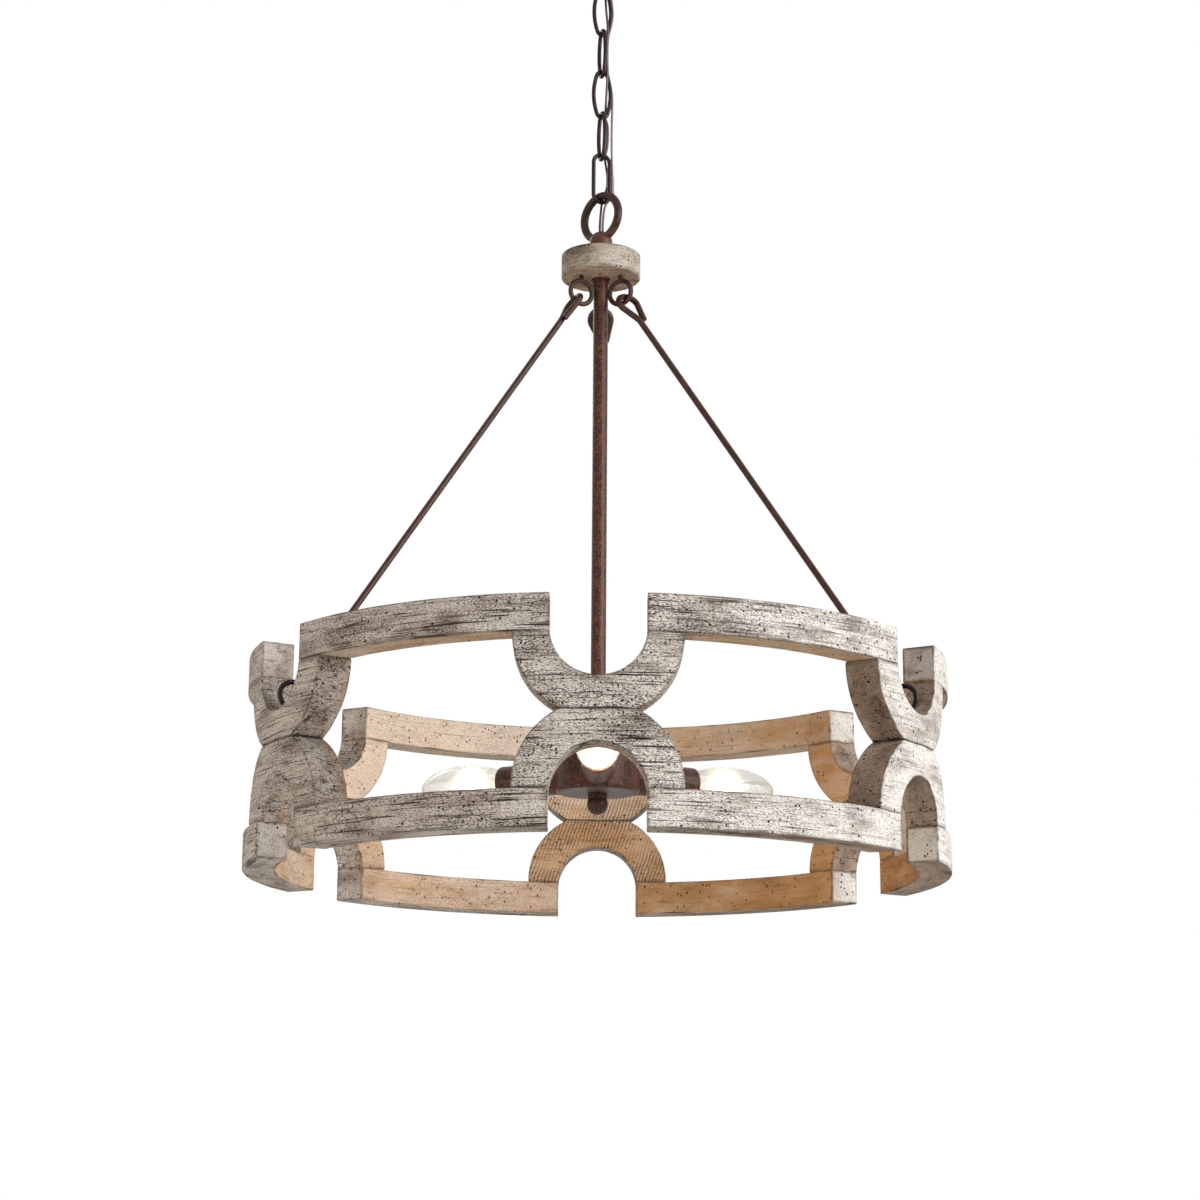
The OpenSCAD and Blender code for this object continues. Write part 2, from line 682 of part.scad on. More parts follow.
module socket_cup() {
    inside = cup_d / 2 - cup_wall;
    floor_t = 2;
    root = 20; // starts inside the hub, whose shape is then taken away
    difference() {
        union() {
            rotate_extrude() polygon(concat(
                [[inside, root], [cup_d / 2, root]],
                arc([cup_d / 2 - cup_edge, cup_reach - cup_edge], cup_edge, 0, 90, 6),
                [[inside, cup_reach]]
            ));
            translate([0, 0, core_back - floor_t]) cylinder(r = inside + eps, h = floor_t);
        }
        cylinder(d = stub_d + 0.4, h = core_back + 1);
        rotate([-90, 0, 0]) translate([0, 0, -light_z]) rotate_extrude()
            polygon(concat([[0, hub_low]], dome_profile(0), [[0, hub_low + hub_h]]));
    }
}

module socket_cups() { color(rust) for (k = [1:LIGHTS]) at_light(k) socket_cup(); }

module socket_core() {
    difference() {
        union() {
            translate([0, 0, core_back]) cylinder(d = core_d, h = core_mouth - core_back);
            translate([0, 0, stub_head_out - 1]) cylinder(d = stub_d, h = core_back - stub_head_out + 2);
            translate([0, 0, stub_head_out - 2]) cylinder(r = stub_head_r, h = 2);
        }
        translate([0, 0, core_mouth - core_bore_l]) cylinder(d = base_d + 2 * thread_play, h = core_bore_l + 1);
        translate([0, 0, stub_head_out - 3]) cylinder(d = stub_d - 3, h = core_back);
    }
}

module socket_cores() { color("#e8e2d2") for (k = [1:LIGHTS]) at_light(k) socket_core(); }

// Radius of a bulb's glass at a distance along it: a sine swell to the widest place, then a
// rounded taper to the tip
function glass_r(x) = x < bulb_wide_at
    ? glass_neck_r + (bulb_d / 2 - glass_neck_r) * pow(sin(90 * x / bulb_wide_at), swell_power)
    : let (t = min(1, (x - bulb_wide_at) / (bulb_l - bulb_wide_at)))
        bulb_d / 2 * sqrt(1 - t * t) * (1 - tip_taper * t * t);

module bulb_glass(k) {
    swell = [for (i = [0:8]) bulb_wide_at * i / 8];
    taper = [for (i = [1:11]) bulb_wide_at + (bulb_l - bulb_wide_at) * sin(90 * i / 12)];
    steps = concat(swell, taper);
    color("#f4ead2", 0.4) at_light(k) translate([0, 0, glass_start]) rotate_extrude()
        polygon(concat(
            [for (x = steps) [glass_r(x), x]],
            [[0, bulb_l], [0, bulb_l - 2 * glass_t]],
            [for (i = [len(steps) - 1:-1:0]) [max(0.2, glass_r(steps[i]) - glass_t), steps[i] - (i > 8 ? glass_t : 0)]]
        ));
}

module bulb_base(k) {
    low = core_mouth - core_bore_l + 1;
    color("#c8b98a") at_light(k) rotate_extrude() polygon([
        [0, low], [2, low], [base_d / 2 - 1, low + 3], [base_d / 2, low + 4], [base_d / 2, glass_start],
        [base_d / 2 - 0.8, glass_start], [base_d / 2 - 0.8, low + 5], [0, low + 5]
    ]);
}

// Each piece by its name

canopy();
collar_ring();
canopy_loop();
nipple();
lock_nut();
crossbar();
ground_screw();
for (n = [1:5]) link(n);
cord_strand_inner();
cord_strand_outer();
cord_sleeve();
fixture_loop();
wood_disc();
stem();
stem_collar();
disc_eyes();
frame_eyes();
for (n = [1:POSTS]) upper_bar(n);
for (n = [1:POSTS]) lower_bar(n);
for (n = [1:POSTS]) upper_yoke(n);
for (n = [1:POSTS]) lower_arch(n);
rod(2, rod_swivel);  // rod_right
rod(4, 180);  // rod_back
rod(6, 0);  // rod_left
hub_dome();
hub_plate();
hub_nut();
finial();
socket_cups();
socket_cores();
for (k = [1:LIGHTS]) bulb_glass(k);
for (k = [1:LIGHTS]) bulb_base(k);
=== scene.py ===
import bpy
import numpy as np
from mathutils import Matrix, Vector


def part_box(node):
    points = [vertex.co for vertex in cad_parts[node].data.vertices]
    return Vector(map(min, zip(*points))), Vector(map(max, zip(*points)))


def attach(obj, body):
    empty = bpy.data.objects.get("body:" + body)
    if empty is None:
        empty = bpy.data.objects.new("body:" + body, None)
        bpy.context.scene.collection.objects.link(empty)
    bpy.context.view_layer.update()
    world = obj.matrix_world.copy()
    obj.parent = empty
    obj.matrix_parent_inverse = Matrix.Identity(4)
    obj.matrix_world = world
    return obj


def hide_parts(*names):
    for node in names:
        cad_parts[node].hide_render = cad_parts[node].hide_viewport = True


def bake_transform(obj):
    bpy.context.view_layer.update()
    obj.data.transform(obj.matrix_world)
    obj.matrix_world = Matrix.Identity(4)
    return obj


# Lengths are in metres. The ceiling is z = 0, the fixture hangs on the z axis, the camera is at -Y
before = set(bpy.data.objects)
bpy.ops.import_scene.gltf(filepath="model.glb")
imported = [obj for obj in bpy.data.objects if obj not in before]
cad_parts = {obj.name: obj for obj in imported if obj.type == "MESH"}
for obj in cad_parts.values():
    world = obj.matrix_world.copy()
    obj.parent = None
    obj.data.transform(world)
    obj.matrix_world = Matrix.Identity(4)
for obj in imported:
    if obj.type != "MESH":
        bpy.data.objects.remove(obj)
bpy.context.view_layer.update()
scene = bpy.context.scene

# The view and the room
# The chandelier hangs in a plain white studio: one large soft lamp high on the right, a weaker
# one on the left, a small one behind, and an even pale room round it.

MID = -0.803  # height of the middle of the timber ring
LENS, SENSOR = 78.945, 36  # both in millimetres
CAMERA_AT = (0.0, -2.2724, -1.1824)
CAMERA_PITCH, CAMERA_YAW, CAMERA_ROLL = 13.255, -0.027, -0.363


def turn(axis, degrees):
    """Rotation matrix about the x, y or z axis."""
    c, s = np.cos(np.radians(degrees)), np.sin(np.radians(degrees))
    a, b = {"x": (1, 2), "y": (2, 0), "z": (0, 1)}[axis]
    m = np.eye(3)
    m[a, a], m[a, b], m[b, a], m[b, b] = c, -s, s, c
    return m


look = turn("z", CAMERA_YAW) @ turn("x", CAMERA_PITCH) @ turn("y", CAMERA_ROLL) @ turn("x", 90)
camera = bpy.data.objects.new("camera", bpy.data.cameras.new("camera"))
camera.data.lens = LENS
camera.data.sensor_width = SENSOR
camera.data.sensor_fit = "HORIZONTAL"
camera.data.clip_end = 50
camera.matrix_world = Matrix.Translation(CAMERA_AT) @ Matrix(look.tolist()).to_4x4()
scene.collection.objects.link(camera)
scene.camera = camera

scene.view_settings.view_transform = "Standard"


def srgb(code):
    """Linear RGBA of an sRGB hex colour: each channel through the sRGB decoding curve."""
    c = np.array([int(code[i:i + 2], 16) for i in (1, 3, 5)]) / 255
    lin = np.where(c <= 0.04045, c / 12.92, ((c + 0.055) / 1.055) ** 2.4)
    return (*lin.tolist(), 1.0)


def add(tree, kind, inputs=None, **settings):
    """Adds a node, sets its properties, and links or sets each input named or numbered."""
    node = tree.nodes.new("ShaderNode" + kind)
    for name, value in settings.items():
        setattr(node, name, value)
    for name, value in (inputs or {}).items():
        if isinstance(value, bpy.types.Node):
            value = value.outputs[0]
        if isinstance(value, bpy.types.NodeSocket):
            tree.links.new(value, node.inputs[name])
        else:
            node.inputs[name].default_value = value
    return node


def new_material(name):
    """An empty node material and its tree."""
    material = bpy.data.materials.new(name)
    material.use_nodes = True
    material.node_tree.nodes.clear()
    return material, material.node_tree


def seen_directly(tree):
    """1 for the camera, in gloss and through glass, and 0 for the light that falls on things."""
    path = add(tree, "LightPath")
    seen = add(tree, "Math", {0: path.outputs["Is Camera Ray"], 1: path.outputs["Is Transmission Ray"]},
               operation="MAXIMUM")
    return add(tree, "Math", {0: seen, 1: path.outputs["Is Glossy Ray"]}, operation="MAXIMUM")


world = bpy.data.worlds.new("white room")
world.use_nodes = True
scene.world = world
world.node_tree.nodes.clear()
room_light = add(world.node_tree, "Background", {"Color": srgb("#ffeedd"), "Strength": 0.2})
room_seen = add(world.node_tree, "Background", {"Color": srgb("#ffffff"), "Strength": 1.0})
room = add(world.node_tree, "MixShader", {0: seen_directly(world.node_tree), 1: room_light, 2: room_seen})
add(world.node_tree, "OutputWorld", {"Surface": room})

# Painted studio floor, far below the hanging fixture: matt white, takes a soft shadow.
floor_paint, tree = new_material("matt white floor paint")
floor_body = add(tree, "BsdfDiffuse", {"Color": srgb("#f4f4f2"), "Roughness": 0.6})
floor_glow = add(tree, "Emission", {"Color": srgb("#ffffff"), "Strength": 1.0})
half_glow = add(tree, "Math", {0: seen_directly(tree), 1: 0.55}, operation="MULTIPLY")
floor_skin = add(tree, "MixShader", {0: half_glow, 1: floor_body, 2: floor_glow})
add(tree, "OutputMaterial", {"Surface": floor_skin})

FLOOR_Z, FLOOR_HALF = -2.3, 12.0
floor_mesh = bpy.data.meshes.new("floor")
floor_mesh.from_pydata([(x, y, FLOOR_Z) for x, y in ((-1, -1), (1, -1), (1, 1), (-1, 1))],
                       [], [(0, 1, 2, 3)])
floor_mesh.transform(Matrix.Diagonal((FLOOR_HALF, FLOOR_HALF, 1, 1)))
floor_mesh.materials.append(floor_paint)
floor = bpy.data.objects.new("floor", floor_mesh)
scene.collection.objects.link(floor)


def lamp(name, at, aim, size, watts, colour):
    """A square soft lamp at one point, facing another."""
    light = bpy.data.lights.new(name, "AREA")
    light.size, light.energy, light.color = size, watts, srgb(colour)[:3]
    body = bpy.data.objects.new(name, light)
    back = np.array(at, float) - np.array(aim, float)
    back /= np.linalg.norm(back)
    side = np.cross((0, 0, 1), back)
    side /= np.linalg.norm(side)
    up = np.cross(back, side)
    body.matrix_world = Matrix.Translation(at) @ Matrix(np.stack([side, up, back], 1).tolist()).to_4x4()
    scene.collection.objects.link(body)


lamp("key lamp", (2.7, -1.7, 0.1), (0, 0, MID), 2.0, 134, "#ffffff")
lamp("fill lamp", (-2.6, -1.8, -1.2), (0, 0, MID), 1.6, 38, "#fff2e4")
lamp("back lamp", (-1.6, 2.4, 0.9), (0, 0, MID), 1.4, 16, "#fff8f0")

# Cord
# Two separate strands of lamp wire, plain brown plastic sheaths drawn over copper, threaded
# through the chain from the ceiling fitting into the stem. Each is cut in this model at the
# middle of every link.

STRAND_D = 0.0022
ROUTE_STEP = 0.0015
INNER_ROUTE = np.array([
    (-1.3, 0, -2), (-1.3, 0, -30), (-1.3, 0, -44), (-0.4, 2.2, -50), (1.5, 4.7, -56),
    (2.7, 5.6, -62), (2.9, 5.2, -70), (3.6, 1.6, -82), (4.6, -1.6, -94), (4.8, -2.6, -104),
    (4.4, -2.7, -114), (4.4, -2.7, -134), (4.8, -2.6, -144), (4.6, -1.6, -153), (4, 1.4, -165),
    (3.4, 4.2, -177), (3, 5.2, -185), (5.2, 3.2, -194), (5.7, 2.4, -206), (5, 4.2, -216),
    (3, 5.7, -225), (3.9, 6, -233), (5.2, 5.9, -242), (5.2, 5.9, -254), (3, 6.2, -261),
    (0.9, 6.1, -267), (0.2, 5.8, -272), (-0.4, 4, -279), (-1, 1.8, -288), (-1.3, 0.2, -296),
    (-1.3, 0, -302), (-1.3, 0, -330), (-1.3, 0, -560), (-1.3, 0, -780)]) / 1000
OUTER_ROUTE = np.array([
    (1.3, 0, -2), (1.3, 0, -30), (1.3, 0, -43), (2.6, 1, -49), (4.9, 2.8, -55),
    (7, 4.9, -62), (8.8, 5.7, -70), (9.6, 6.2, -82), (8.3, 5.9, -92), (6.4, 5.3, -100),
    (5.3, 4, -108), (4.9, 2.2, -118), (4.9, 2.2, -130), (5.3, 4, -139), (6.4, 5.3, -147),
    (8.3, 5.9, -156), (9.6, 6.2, -166), (9.5, 6.1, -178), (9.3, 5.2, -188), (9.2, 3.6, -200),
    (9.2, 3.6, -212), (9.4, 5, -224), (9.8, 6.2, -234), (10, 6.4, -243), (10, 6.4, -261),
    (8.6, 6.8, -265), (5.6, 6, -269), (3.4, 5, -274), (2.2, 3.2, -281), (1.6, 1.4, -289),
    (1.3, 0.1, -296), (1.3, 0, -302), (1.3, 0, -330), (1.3, 0, -560), (1.3, 0, -780)]) / 1000


def smooth_route(points, step):
    """Points every step metres on the Catmull-Rom curve through the given ones: on each stretch
    a cubic whose tangent at a point is half the way from its neighbour before to the one after."""
    p = np.vstack([2 * points[0] - points[1], points, 2 * points[-1] - points[-2]])
    out = []
    for i in range(1, len(p) - 2):
        n = max(2, int(np.linalg.norm(p[i + 1] - p[i]) / step))
        t = (np.arange(n) / n)[:, None]
        a, b, c, d = p[i - 1], p[i], p[i + 1], p[i + 2]
        out.append(0.5 * (2 * b + (c - a) * t + (2 * a - 5 * b + 4 * c - d) * t ** 2
                          + (3 * b - a - 3 * c + d) * t ** 3))
    return np.vstack(out + [points[-1:]])


def piece_from_grid(name, grid, wrap_rows=False, caps=(False, False), material=None, crease=40):
    """A mesh object from a grid of points, rows by columns by xyz. Columns always close into
    rings, rows do if wrap_rows, and caps close the first and last row with one flat face."""
    rows, cols = grid.shape[:2]
    r = np.arange(rows if wrap_rows else rows - 1)[:, None]
    c = np.arange(cols)[None, :]
    r2, c2 = (r + 1) % rows, (c + 1) % cols
    quads = np.stack([r * cols + c, r * cols + c2, r2 * cols + c2, r2 * cols + c], -1).reshape(-1, 4)
    faces = quads.tolist()
    if caps[0]:
        faces.append(list(range(cols - 1, -1, -1)))
    if caps[1]:
        faces.append(list(range((rows - 1) * cols, rows * cols)))
    mesh = bpy.data.meshes.new(name)
    mesh.from_pydata(grid.reshape(-1, 3).tolist(), [], faces)
    mesh.update()
    mesh.shade_smooth()
    mesh.set_sharp_from_angle(angle=np.radians(crease))
    if material is not None:
        mesh.materials.append(material)
    body = bpy.data.objects.new(name, mesh)
    scene.collection.objects.link(body)
    return body


def tube(name, path, radius, sides, material):
    """Round wire along a path. The ring at each point lies square to the path, and its first
    spoke is the last one's, laid flat again."""
    along = np.gradient(path, axis=0)
    along /= np.linalg.norm(along, axis=1)[:, None]
    spoke = np.cross(along[0], (0.31, 0.87, 0.12))
    spokes = []
    for t in along:
        spoke = spoke - t * (spoke @ t)
        spoke /= np.linalg.norm(spoke)
        spokes.append(spoke)
    u = np.array(spokes)
    v = np.cross(along, u)
    a = np.linspace(0, 2 * np.pi, sides, endpoint=False)[:, None]
    ring = np.cos(a) * u[:, None] + np.sin(a) * v[:, None]
    return piece_from_grid(name, path[:, None] + radius * ring, caps=(True, True), material=material)


def satin_plastic(name, deep, light):
    """Soft PVC, or another plastic or lacquer as smooth: one satin skin in faint clouds of two
    tones 6 mm across, with the shallow waves that the die leaves."""
    material, tree = new_material(name)
    at = add(tree, "TexCoord").outputs["Object"]
    wave = add(tree, "TexNoise", {"Vector": at, "Scale": 160.0, "Detail": 2.0})
    colour = add(tree, "MixRGB", {"Fac": wave, "Color1": srgb(deep), "Color2": srgb(light)})
    bump = add(tree, "Bump", {"Height": wave, "Strength": 0.15, "Distance": 0.0004})
    skin = add(tree, "BsdfPrincipled", {"Base Color": colour, "Roughness": 0.34, "IOR": 1.53,
                                        "Normal": bump})
    add(tree, "OutputMaterial", {"Surface": skin})
    return material


link_box = {n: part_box(f"link_{n}") for n in range(1, 6)}
link_mid = [(link_box[n][0].z + link_box[n][1].z) / 2 for n in (5, 4, 3, 2, 1)]

for strand, route, sheath in (
        ("cord_strand_inner", INNER_ROUTE, satin_plastic("brown PVC sheath", "#3c2723", "#5c3f3a")),
        ("cord_strand_outer", OUTER_ROUTE, satin_plastic("grey-brown PVC sheath", "#66524f", "#96827f"))):
    line = smooth_route(route, ROUTE_STEP)
    cuts = [1.0] + link_mid + [-2.0]  # heights, from well above the cord to well below it
    for i in range(6):
        inside = np.flatnonzero((line[:, 2] <= cuts[i]) & (line[:, 2] >= cuts[i + 1]))
        part = line[max(inside[0] - 1, 0):inside[-1] + 1]
        piece = tube(f"{strand}_{i + 1}", part, STRAND_D / 2, sides=14, material=sheath)
        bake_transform(piece)
        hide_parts(strand)


def dress(material, *nodes):
    """Gives CAD nodes a material in every slot."""
    for node in nodes:
        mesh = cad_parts[node].data
        mesh.materials.clear()
        mesh.materials.append(material)


dress(satin_plastic("grey shrink sleeve", "#6d6363", "#9a8f8f"), "cord_sleeve")

# Timber ring
# Six curved bars above and six below, sawn from soft wood, with a U-shaped yoke or an arch
# glued under or over each gap. Edges are eased by hand, the outside is brushed with thin white
# limewash and rubbed back, and the inside is left close to bare, waxed wood.

RING_R = 0.305  # to its outside
TIMBER = 0.0285  # thickness of every piece
BAR_H, RING_H = 0.0302, 0.1822
GAP = 0.0755  # between two bars, and across the inside of a yoke
# Radius of a yoke's round outside, and the heights of its centre and of the lowest point of the
# inside over the middle of the ring
YOKE_R, YOKE_RISE, YOKE_FLOOR = 0.0665, 0.0595, 0.026
YOKE_LENGTH = 0.19  # round a yoke, along its middle line
EASE = 0.0009  # radius of the eased edges
BAR_LOW = RING_H / 2 - BAR_H  # underside of the upper bars over the middle of the ring
SEAM_AT = 0.0489  # height of the glue line across a yoke, from the middle of the ring
SEAM_HALF = 0.00045  # half of a glue line's width
# Tone of the bare inside, 0 pale to 1 brown, of each bar, and of the yoke and arch at each post.
# Partly the wood's own tone and partly painted light and shade: the insides at the ring's left,
# which face the key lamp, are set paler, and those at its right, turned from it, browner.
# Patches add up to 0.12 less or 0.25 more, so a tone below 0 has only a few darker patches
BAR_TONE_AND_PAINTED_LIGHT = (0.25, 0.45, 0.2, -0.12, -0.1, 0.2)
POST_TONE_AND_PAINTED_LIGHT = (0.2, 0.5, 0.3, 0.12, -0.12, 0.2)
LOW_TONE = 0.25  # how much browner the lower pieces are
# How much of the band saw's marks the inside of the yoke and arch at each post, and the bars, keep
POST_SAWN, BAR_SAWN = (0.8, 0.2, 0.15, 1.0, 0.15, 0.2), 0.15


def limed_wood(name, lime, raw, deep, pale, tan, brown):
    """Soft wood, limewashed on the outside: the wash stays on the high grain, and black dirt sits
    in saw lines, in short dashes where the brush dragged, in pinholes and along worn edges. Inside
    it is bare and waxed, with the slanting marks of a band saw. Reads the piece's own
    attributes: board (along, up and into the board, metres), wear (edge, inner face, sawn side),
    coat (amount of wash, tone of the bare wood, distance from a glue line in metres), grime, and
    sawn, the depth of the saw's marks."""
    material, tree = new_material(name)
    board = add(tree, "Attribute", attribute_name="board").outputs["Vector"]
    # the sawn side's share holds painted shade on the ring: browner towards its right
    edge, inner, side = add(tree, "SeparateXYZ", {
        0: add(tree, "Attribute", attribute_name="wear_and_painted_shade").outputs["Vector"]}).outputs
    wash, tone, seam = add(tree, "SeparateXYZ", {
        0: add(tree, "Attribute", attribute_name="coat_and_painted_light").outputs["Vector"]}).outputs
    # the amount of dirt: real dirt, and on the ring also painted light, thinner towards its right
    grime_and_painted_light, saw_depth = [add(tree, "Attribute", attribute_name=label).outputs["Fac"]
                        for label in ("grime_and_painted_light", "sawn")]
    # Patches 20 to 60 mm across: where dirt is thick, and where the wash is thin
    longer = add(tree, "Mapping", {"Vector": board, "Scale": (0.5, 1, 1)})
    patch = add(tree, "TexNoise", {"Vector": longer, "Scale": 42.0, "Detail": 4.0, "Roughness": 0.6})
    moved = add(tree, "Mapping", {"Vector": board, "Location": (3, 1, 2), "Scale": (0.35, 1, 1)})
    thin = add(tree, "TexNoise", {"Vector": moved, "Scale": 55.0, "Detail": 5.0, "Roughness": 0.65})
    # Saw lines along the board, 0.6 mm wide and 3 mm apart, broken every 30 mm or so
    drawn_out = add(tree, "Mapping", {"Vector": board, "Scale": (0.03, 1, 0.3)})
    lined = add(tree, "TexNoise", {"Vector": drawn_out, "Scale": 680.0, "Detail": 2.0, "Roughness": 0.5})
    in_runs = add(tree, "Mapping", {"Vector": board, "Scale": (0.25, 1, 1)})
    broken = add(tree, "TexNoise", {"Vector": in_runs, "Scale": 130.0, "Detail": 2.0})
    line = add(tree, "MapRange", {0: lined, 1: 0.435, 2: 0.385}, interpolation_type="SMOOTHSTEP")
    line_here = add(tree, "MapRange", {0: broken, 1: 0.40, 2: 0.56, 3: 0.1, 4: 1.0})
    line = add(tree, "Math", {0: line, 1: line_here}, operation="MULTIPLY")
    # Dashes 0.7 mm high and 2 mm long
    short = add(tree, "Mapping", {"Vector": board, "Scale": (0.4, 1, 0.6)})
    dashed = add(tree, "TexNoise", {"Vector": short, "Scale": 1250.0, "Detail": 2.0, "Roughness": 0.65})
    dash_level = add(tree, "MapRange", {0: patch, 1: 0.34, 2: 0.62, 3: 0.375, 4: 0.465})
    dash_start = add(tree, "Math", {0: dash_level, 1: 0.045}, operation="ADD")
    dash = add(tree, "MapRange", {0: dashed, 1: dash_start, 2: dash_level, 3: 0.0, 4: 0.9})
    # Pinholes 1.2 to 2 mm across, at most one to each 3.6 mm
    holes = add(tree, "TexVoronoi", {"Vector": board, "Scale": 280.0, "Randomness": 1.0})
    hole_chance, hole_size, _ = add(tree, "SeparateXYZ", {0: holes.outputs["Color"]}).outputs
    chance = add(tree, "MapRange", {0: patch, 1: 0.35, 2: 0.65, 3: 0.95, 4: 0.6})
    hole_here = add(tree, "Math", {0: hole_chance, 1: chance}, operation="GREATER_THAN")
    hole_r = add(tree, "MapRange", {0: hole_size, 1: 0.0, 2: 1.0, 3: 0.17, 4: 0.30})
    hole_rim = add(tree, "Math", {0: hole_r, 1: 0.09}, operation="ADD")
    hole = add(tree, "MapRange", {0: holes.outputs["Distance"], 1: hole_rim, 2: hole_r})
    hole = add(tree, "Math", {0: hole, 1: hole_here}, operation="MULTIPLY")
    # Grain of the wash: 0.7 mm, uneven
    grain = add(tree, "TexNoise", {"Vector": longer, "Scale": 1300.0, "Detail": 2.0, "Roughness": 0.7})
    # Marks of the band saw on the inside, leaning 18 degrees and a little wavy. Real ones are 2.4 mm
    # apart, which would blur at this distance, so they are drawn 3.2 mm apart
    leaning = add(tree, "Mapping", {"Vector": board, "Rotation": (0.0, 0.0, np.radians(18))},
                  vector_type="TEXTURE")
    marks = add(tree, "TexWave", {"Vector": leaning, "Scale": 98.0, "Distortion": 2.5, "Detail": 1.0,
                                  "Detail Scale": 0.6})

    # Outside: raw wood in two tones under the wash, which thins in patches and on the low grain
    thin_here = add(tree, "MapRange", {0: thin, 1: 0.44, 2: 0.66, 3: 1.0, 4: 0.5},
                    interpolation_type="SMOOTHSTEP")
    stained = add(tree, "MapRange", {0: thin, 1: 0.46, 2: 0.68})
    wood = add(tree, "MixRGB", {"Fac": stained, "Color1": srgb(raw), "Color2": srgb(deep)})
    held = add(tree, "MapRange", {0: grain, 1: 0.36, 2: 0.56, 3: 0.35, 4: 1.0})
    cover = add(tree, "Math", {0: thin_here, 1: held}, operation="MULTIPLY")
    by_line = add(tree, "MapRange", {0: lined, 1: 0.41, 2: 0.54, 3: 0.65, 4: 1.0})
    by_line = add(tree, "MapRange", {0: grime_and_painted_light, 1: 0.25, 2: 0.8, 3: 1.0, 4: by_line})
    cover = add(tree, "Math", {0: cover, 1: by_line}, operation="MULTIPLY")
    # on the ring the amount of wash also holds a painted highlight towards its right
    cover = add(tree, "Math", {0: cover, 1: wash}, operation="MULTIPLY", use_clamp=True)
    outside = add(tree, "MixRGB", {"Fac": cover, "Color1": wood, "Color2": srgb(lime)})
    sawn = add(tree, "MixRGB", {"Fac": 0.9, "Color1": outside, "Color2": wood})
    base = add(tree, "MixRGB", {"Fac": side, "Color1": outside, "Color2": sawn})
    # Inside: pale to tan to brown by the piece's tone, which on the ring holds painted light and shade,
    # the patches and the saw's marks
    toned = add(tree, "MapRange", {0: thin, 1: 0.36, 2: 0.66, 3: -0.12, 4: 0.25})
    toned = add(tree, "Math", {0: toned, 1: tone}, operation="ADD", use_clamp=True)
    bare = add(tree, "ValToRGB", {0: toned})
    keys = bare.color_ramp.elements
    keys[0].color, keys[1].color = srgb(pale), srgb(brown)
    keys.new(0.5).color = srgb(tan)
    marked = add(tree, "MapRange", {0: marks, 1: 0.45, 2: 0.85, 3: 0.0, 4: 0.7})
    marked = add(tree, "Math", {0: marked, 1: saw_depth}, operation="MULTIPLY")
    by_patch = add(tree, "MapRange", {0: patch, 1: 0.35, 2: 0.55, 3: 0.3, 4: 1.0})
    marked = add(tree, "Math", {0: marked, 1: by_patch}, operation="MULTIPLY")
    bare = add(tree, "MixRGB", {"Fac": marked, "Color1": bare, "Color2": srgb(deep)})
    base = add(tree, "MixRGB", {"Fac": inner, "Color1": base, "Color2": bare})

    # Dirt, less of it on the waxed inside; the glue line and the worn edges take some too
    dirt = add(tree, "Math", {0: dash, 1: line}, operation="MAXIMUM")
    less_inside = add(tree, "MapRange", {0: inner, 1: 0.0, 2: 1.0, 3: 1.0, 4: 0.45})
    dirt = add(tree, "Math", {0: dirt, 1: less_inside}, operation="MULTIPLY")
    dirt = add(tree, "Math", {0: dirt, 1: grime_and_painted_light}, operation="MULTIPLY")
    hole_dark = add(tree, "MapRange", {0: inner, 1: 0.0, 2: 1.0, 3: 0.95, 4: 0.85})
    hole = add(tree, "Math", {0: hole, 1: hole_dark}, operation="MULTIPLY")
    dirt = add(tree, "Math", {0: dirt, 1: hole}, operation="MAXIMUM")
    glued = add(tree, "Math", {0: seam, 1: SEAM_HALF}, operation="LESS_THAN")
    seam_dark = add(tree, "MapRange", {0: broken, 1: 0.35, 2: 0.5, 3: 0.25, 4: 0.8})
    glued = add(tree, "Math", {0: glued, 1: seam_dark}, operation="MULTIPLY")
    dirt = add(tree, "Math", {0: dirt, 1: glued}, operation="MAXIMUM")
    rubbed = add(tree, "MapRange", {0: broken, 1: 0.38, 2: 0.66, 3: 0.1, 4: 0.8})
    rubbed = add(tree, "Math", {0: rubbed, 1: edge}, operation="MULTIPLY")
    dirt = add(tree, "Math", {0: dirt, 1: rubbed}, operation="MAXIMUM", use_clamp=True)
    colour = add(tree, "MixRGB", {"Fac": dirt, "Color1": base, "Color2": srgb("#2b221d")})
    # Relief: dirt lies 0.2 mm low, and the wash stands up in grains
    height = add(tree, "Math", {0: grain, 1: dirt}, operation="SUBTRACT")
    height = add(tree, "Math", {0: marked, 1: height}, operation="ADD")
    bump = add(tree, "Bump", {"Height": height, "Strength": 0.5, "Distance": 0.0004})
    skin = add(tree, "BsdfPrincipled", {"Base Color": colour, "Roughness": 0.8, "IOR": 1.45,
                                        "Specular IOR Level": 0.12, "Normal": bump})
    add(tree, "OutputMaterial", {"Surface": skin})
    return material


CORNER_STEPS = 4  # faces round each eased corner of a sawn section
SIDE_SHARES = (0.02, 0.1, 0.3, 0.5, 0.7, 0.9, 0.98)  # where points lie along each flat between them


def section_loop():
    """Points round a board's section, quarter circles at its corners with flats between them, as
    five rows: share of the width, share of the depth, offset across and offset into the board in
    eases, and 1 on a corner or 0 on a flat."""
    rows = []
    corners = ((0, 0, 180), (1, 0, 270), (1, 1, 0), (0, 1, 90))
    for i, (fa, fb, start) in enumerate(corners):
        for step in range(CORNER_STEPS + 1):
            q = np.radians(start + 90 * step / CORNER_STEPS)
            rows.append((fa, fb, np.cos(q), np.sin(q), 1.0))
        ga, gb, _ = corners[(i + 1) % 4]
        for f in SIDE_SHARES:
            q = np.radians(start + 90)
            rows.append((fa + (ga - fa) * f, fb + (gb - fb) * f, np.cos(q), np.sin(q), 0.0))
    return np.array(rows).T


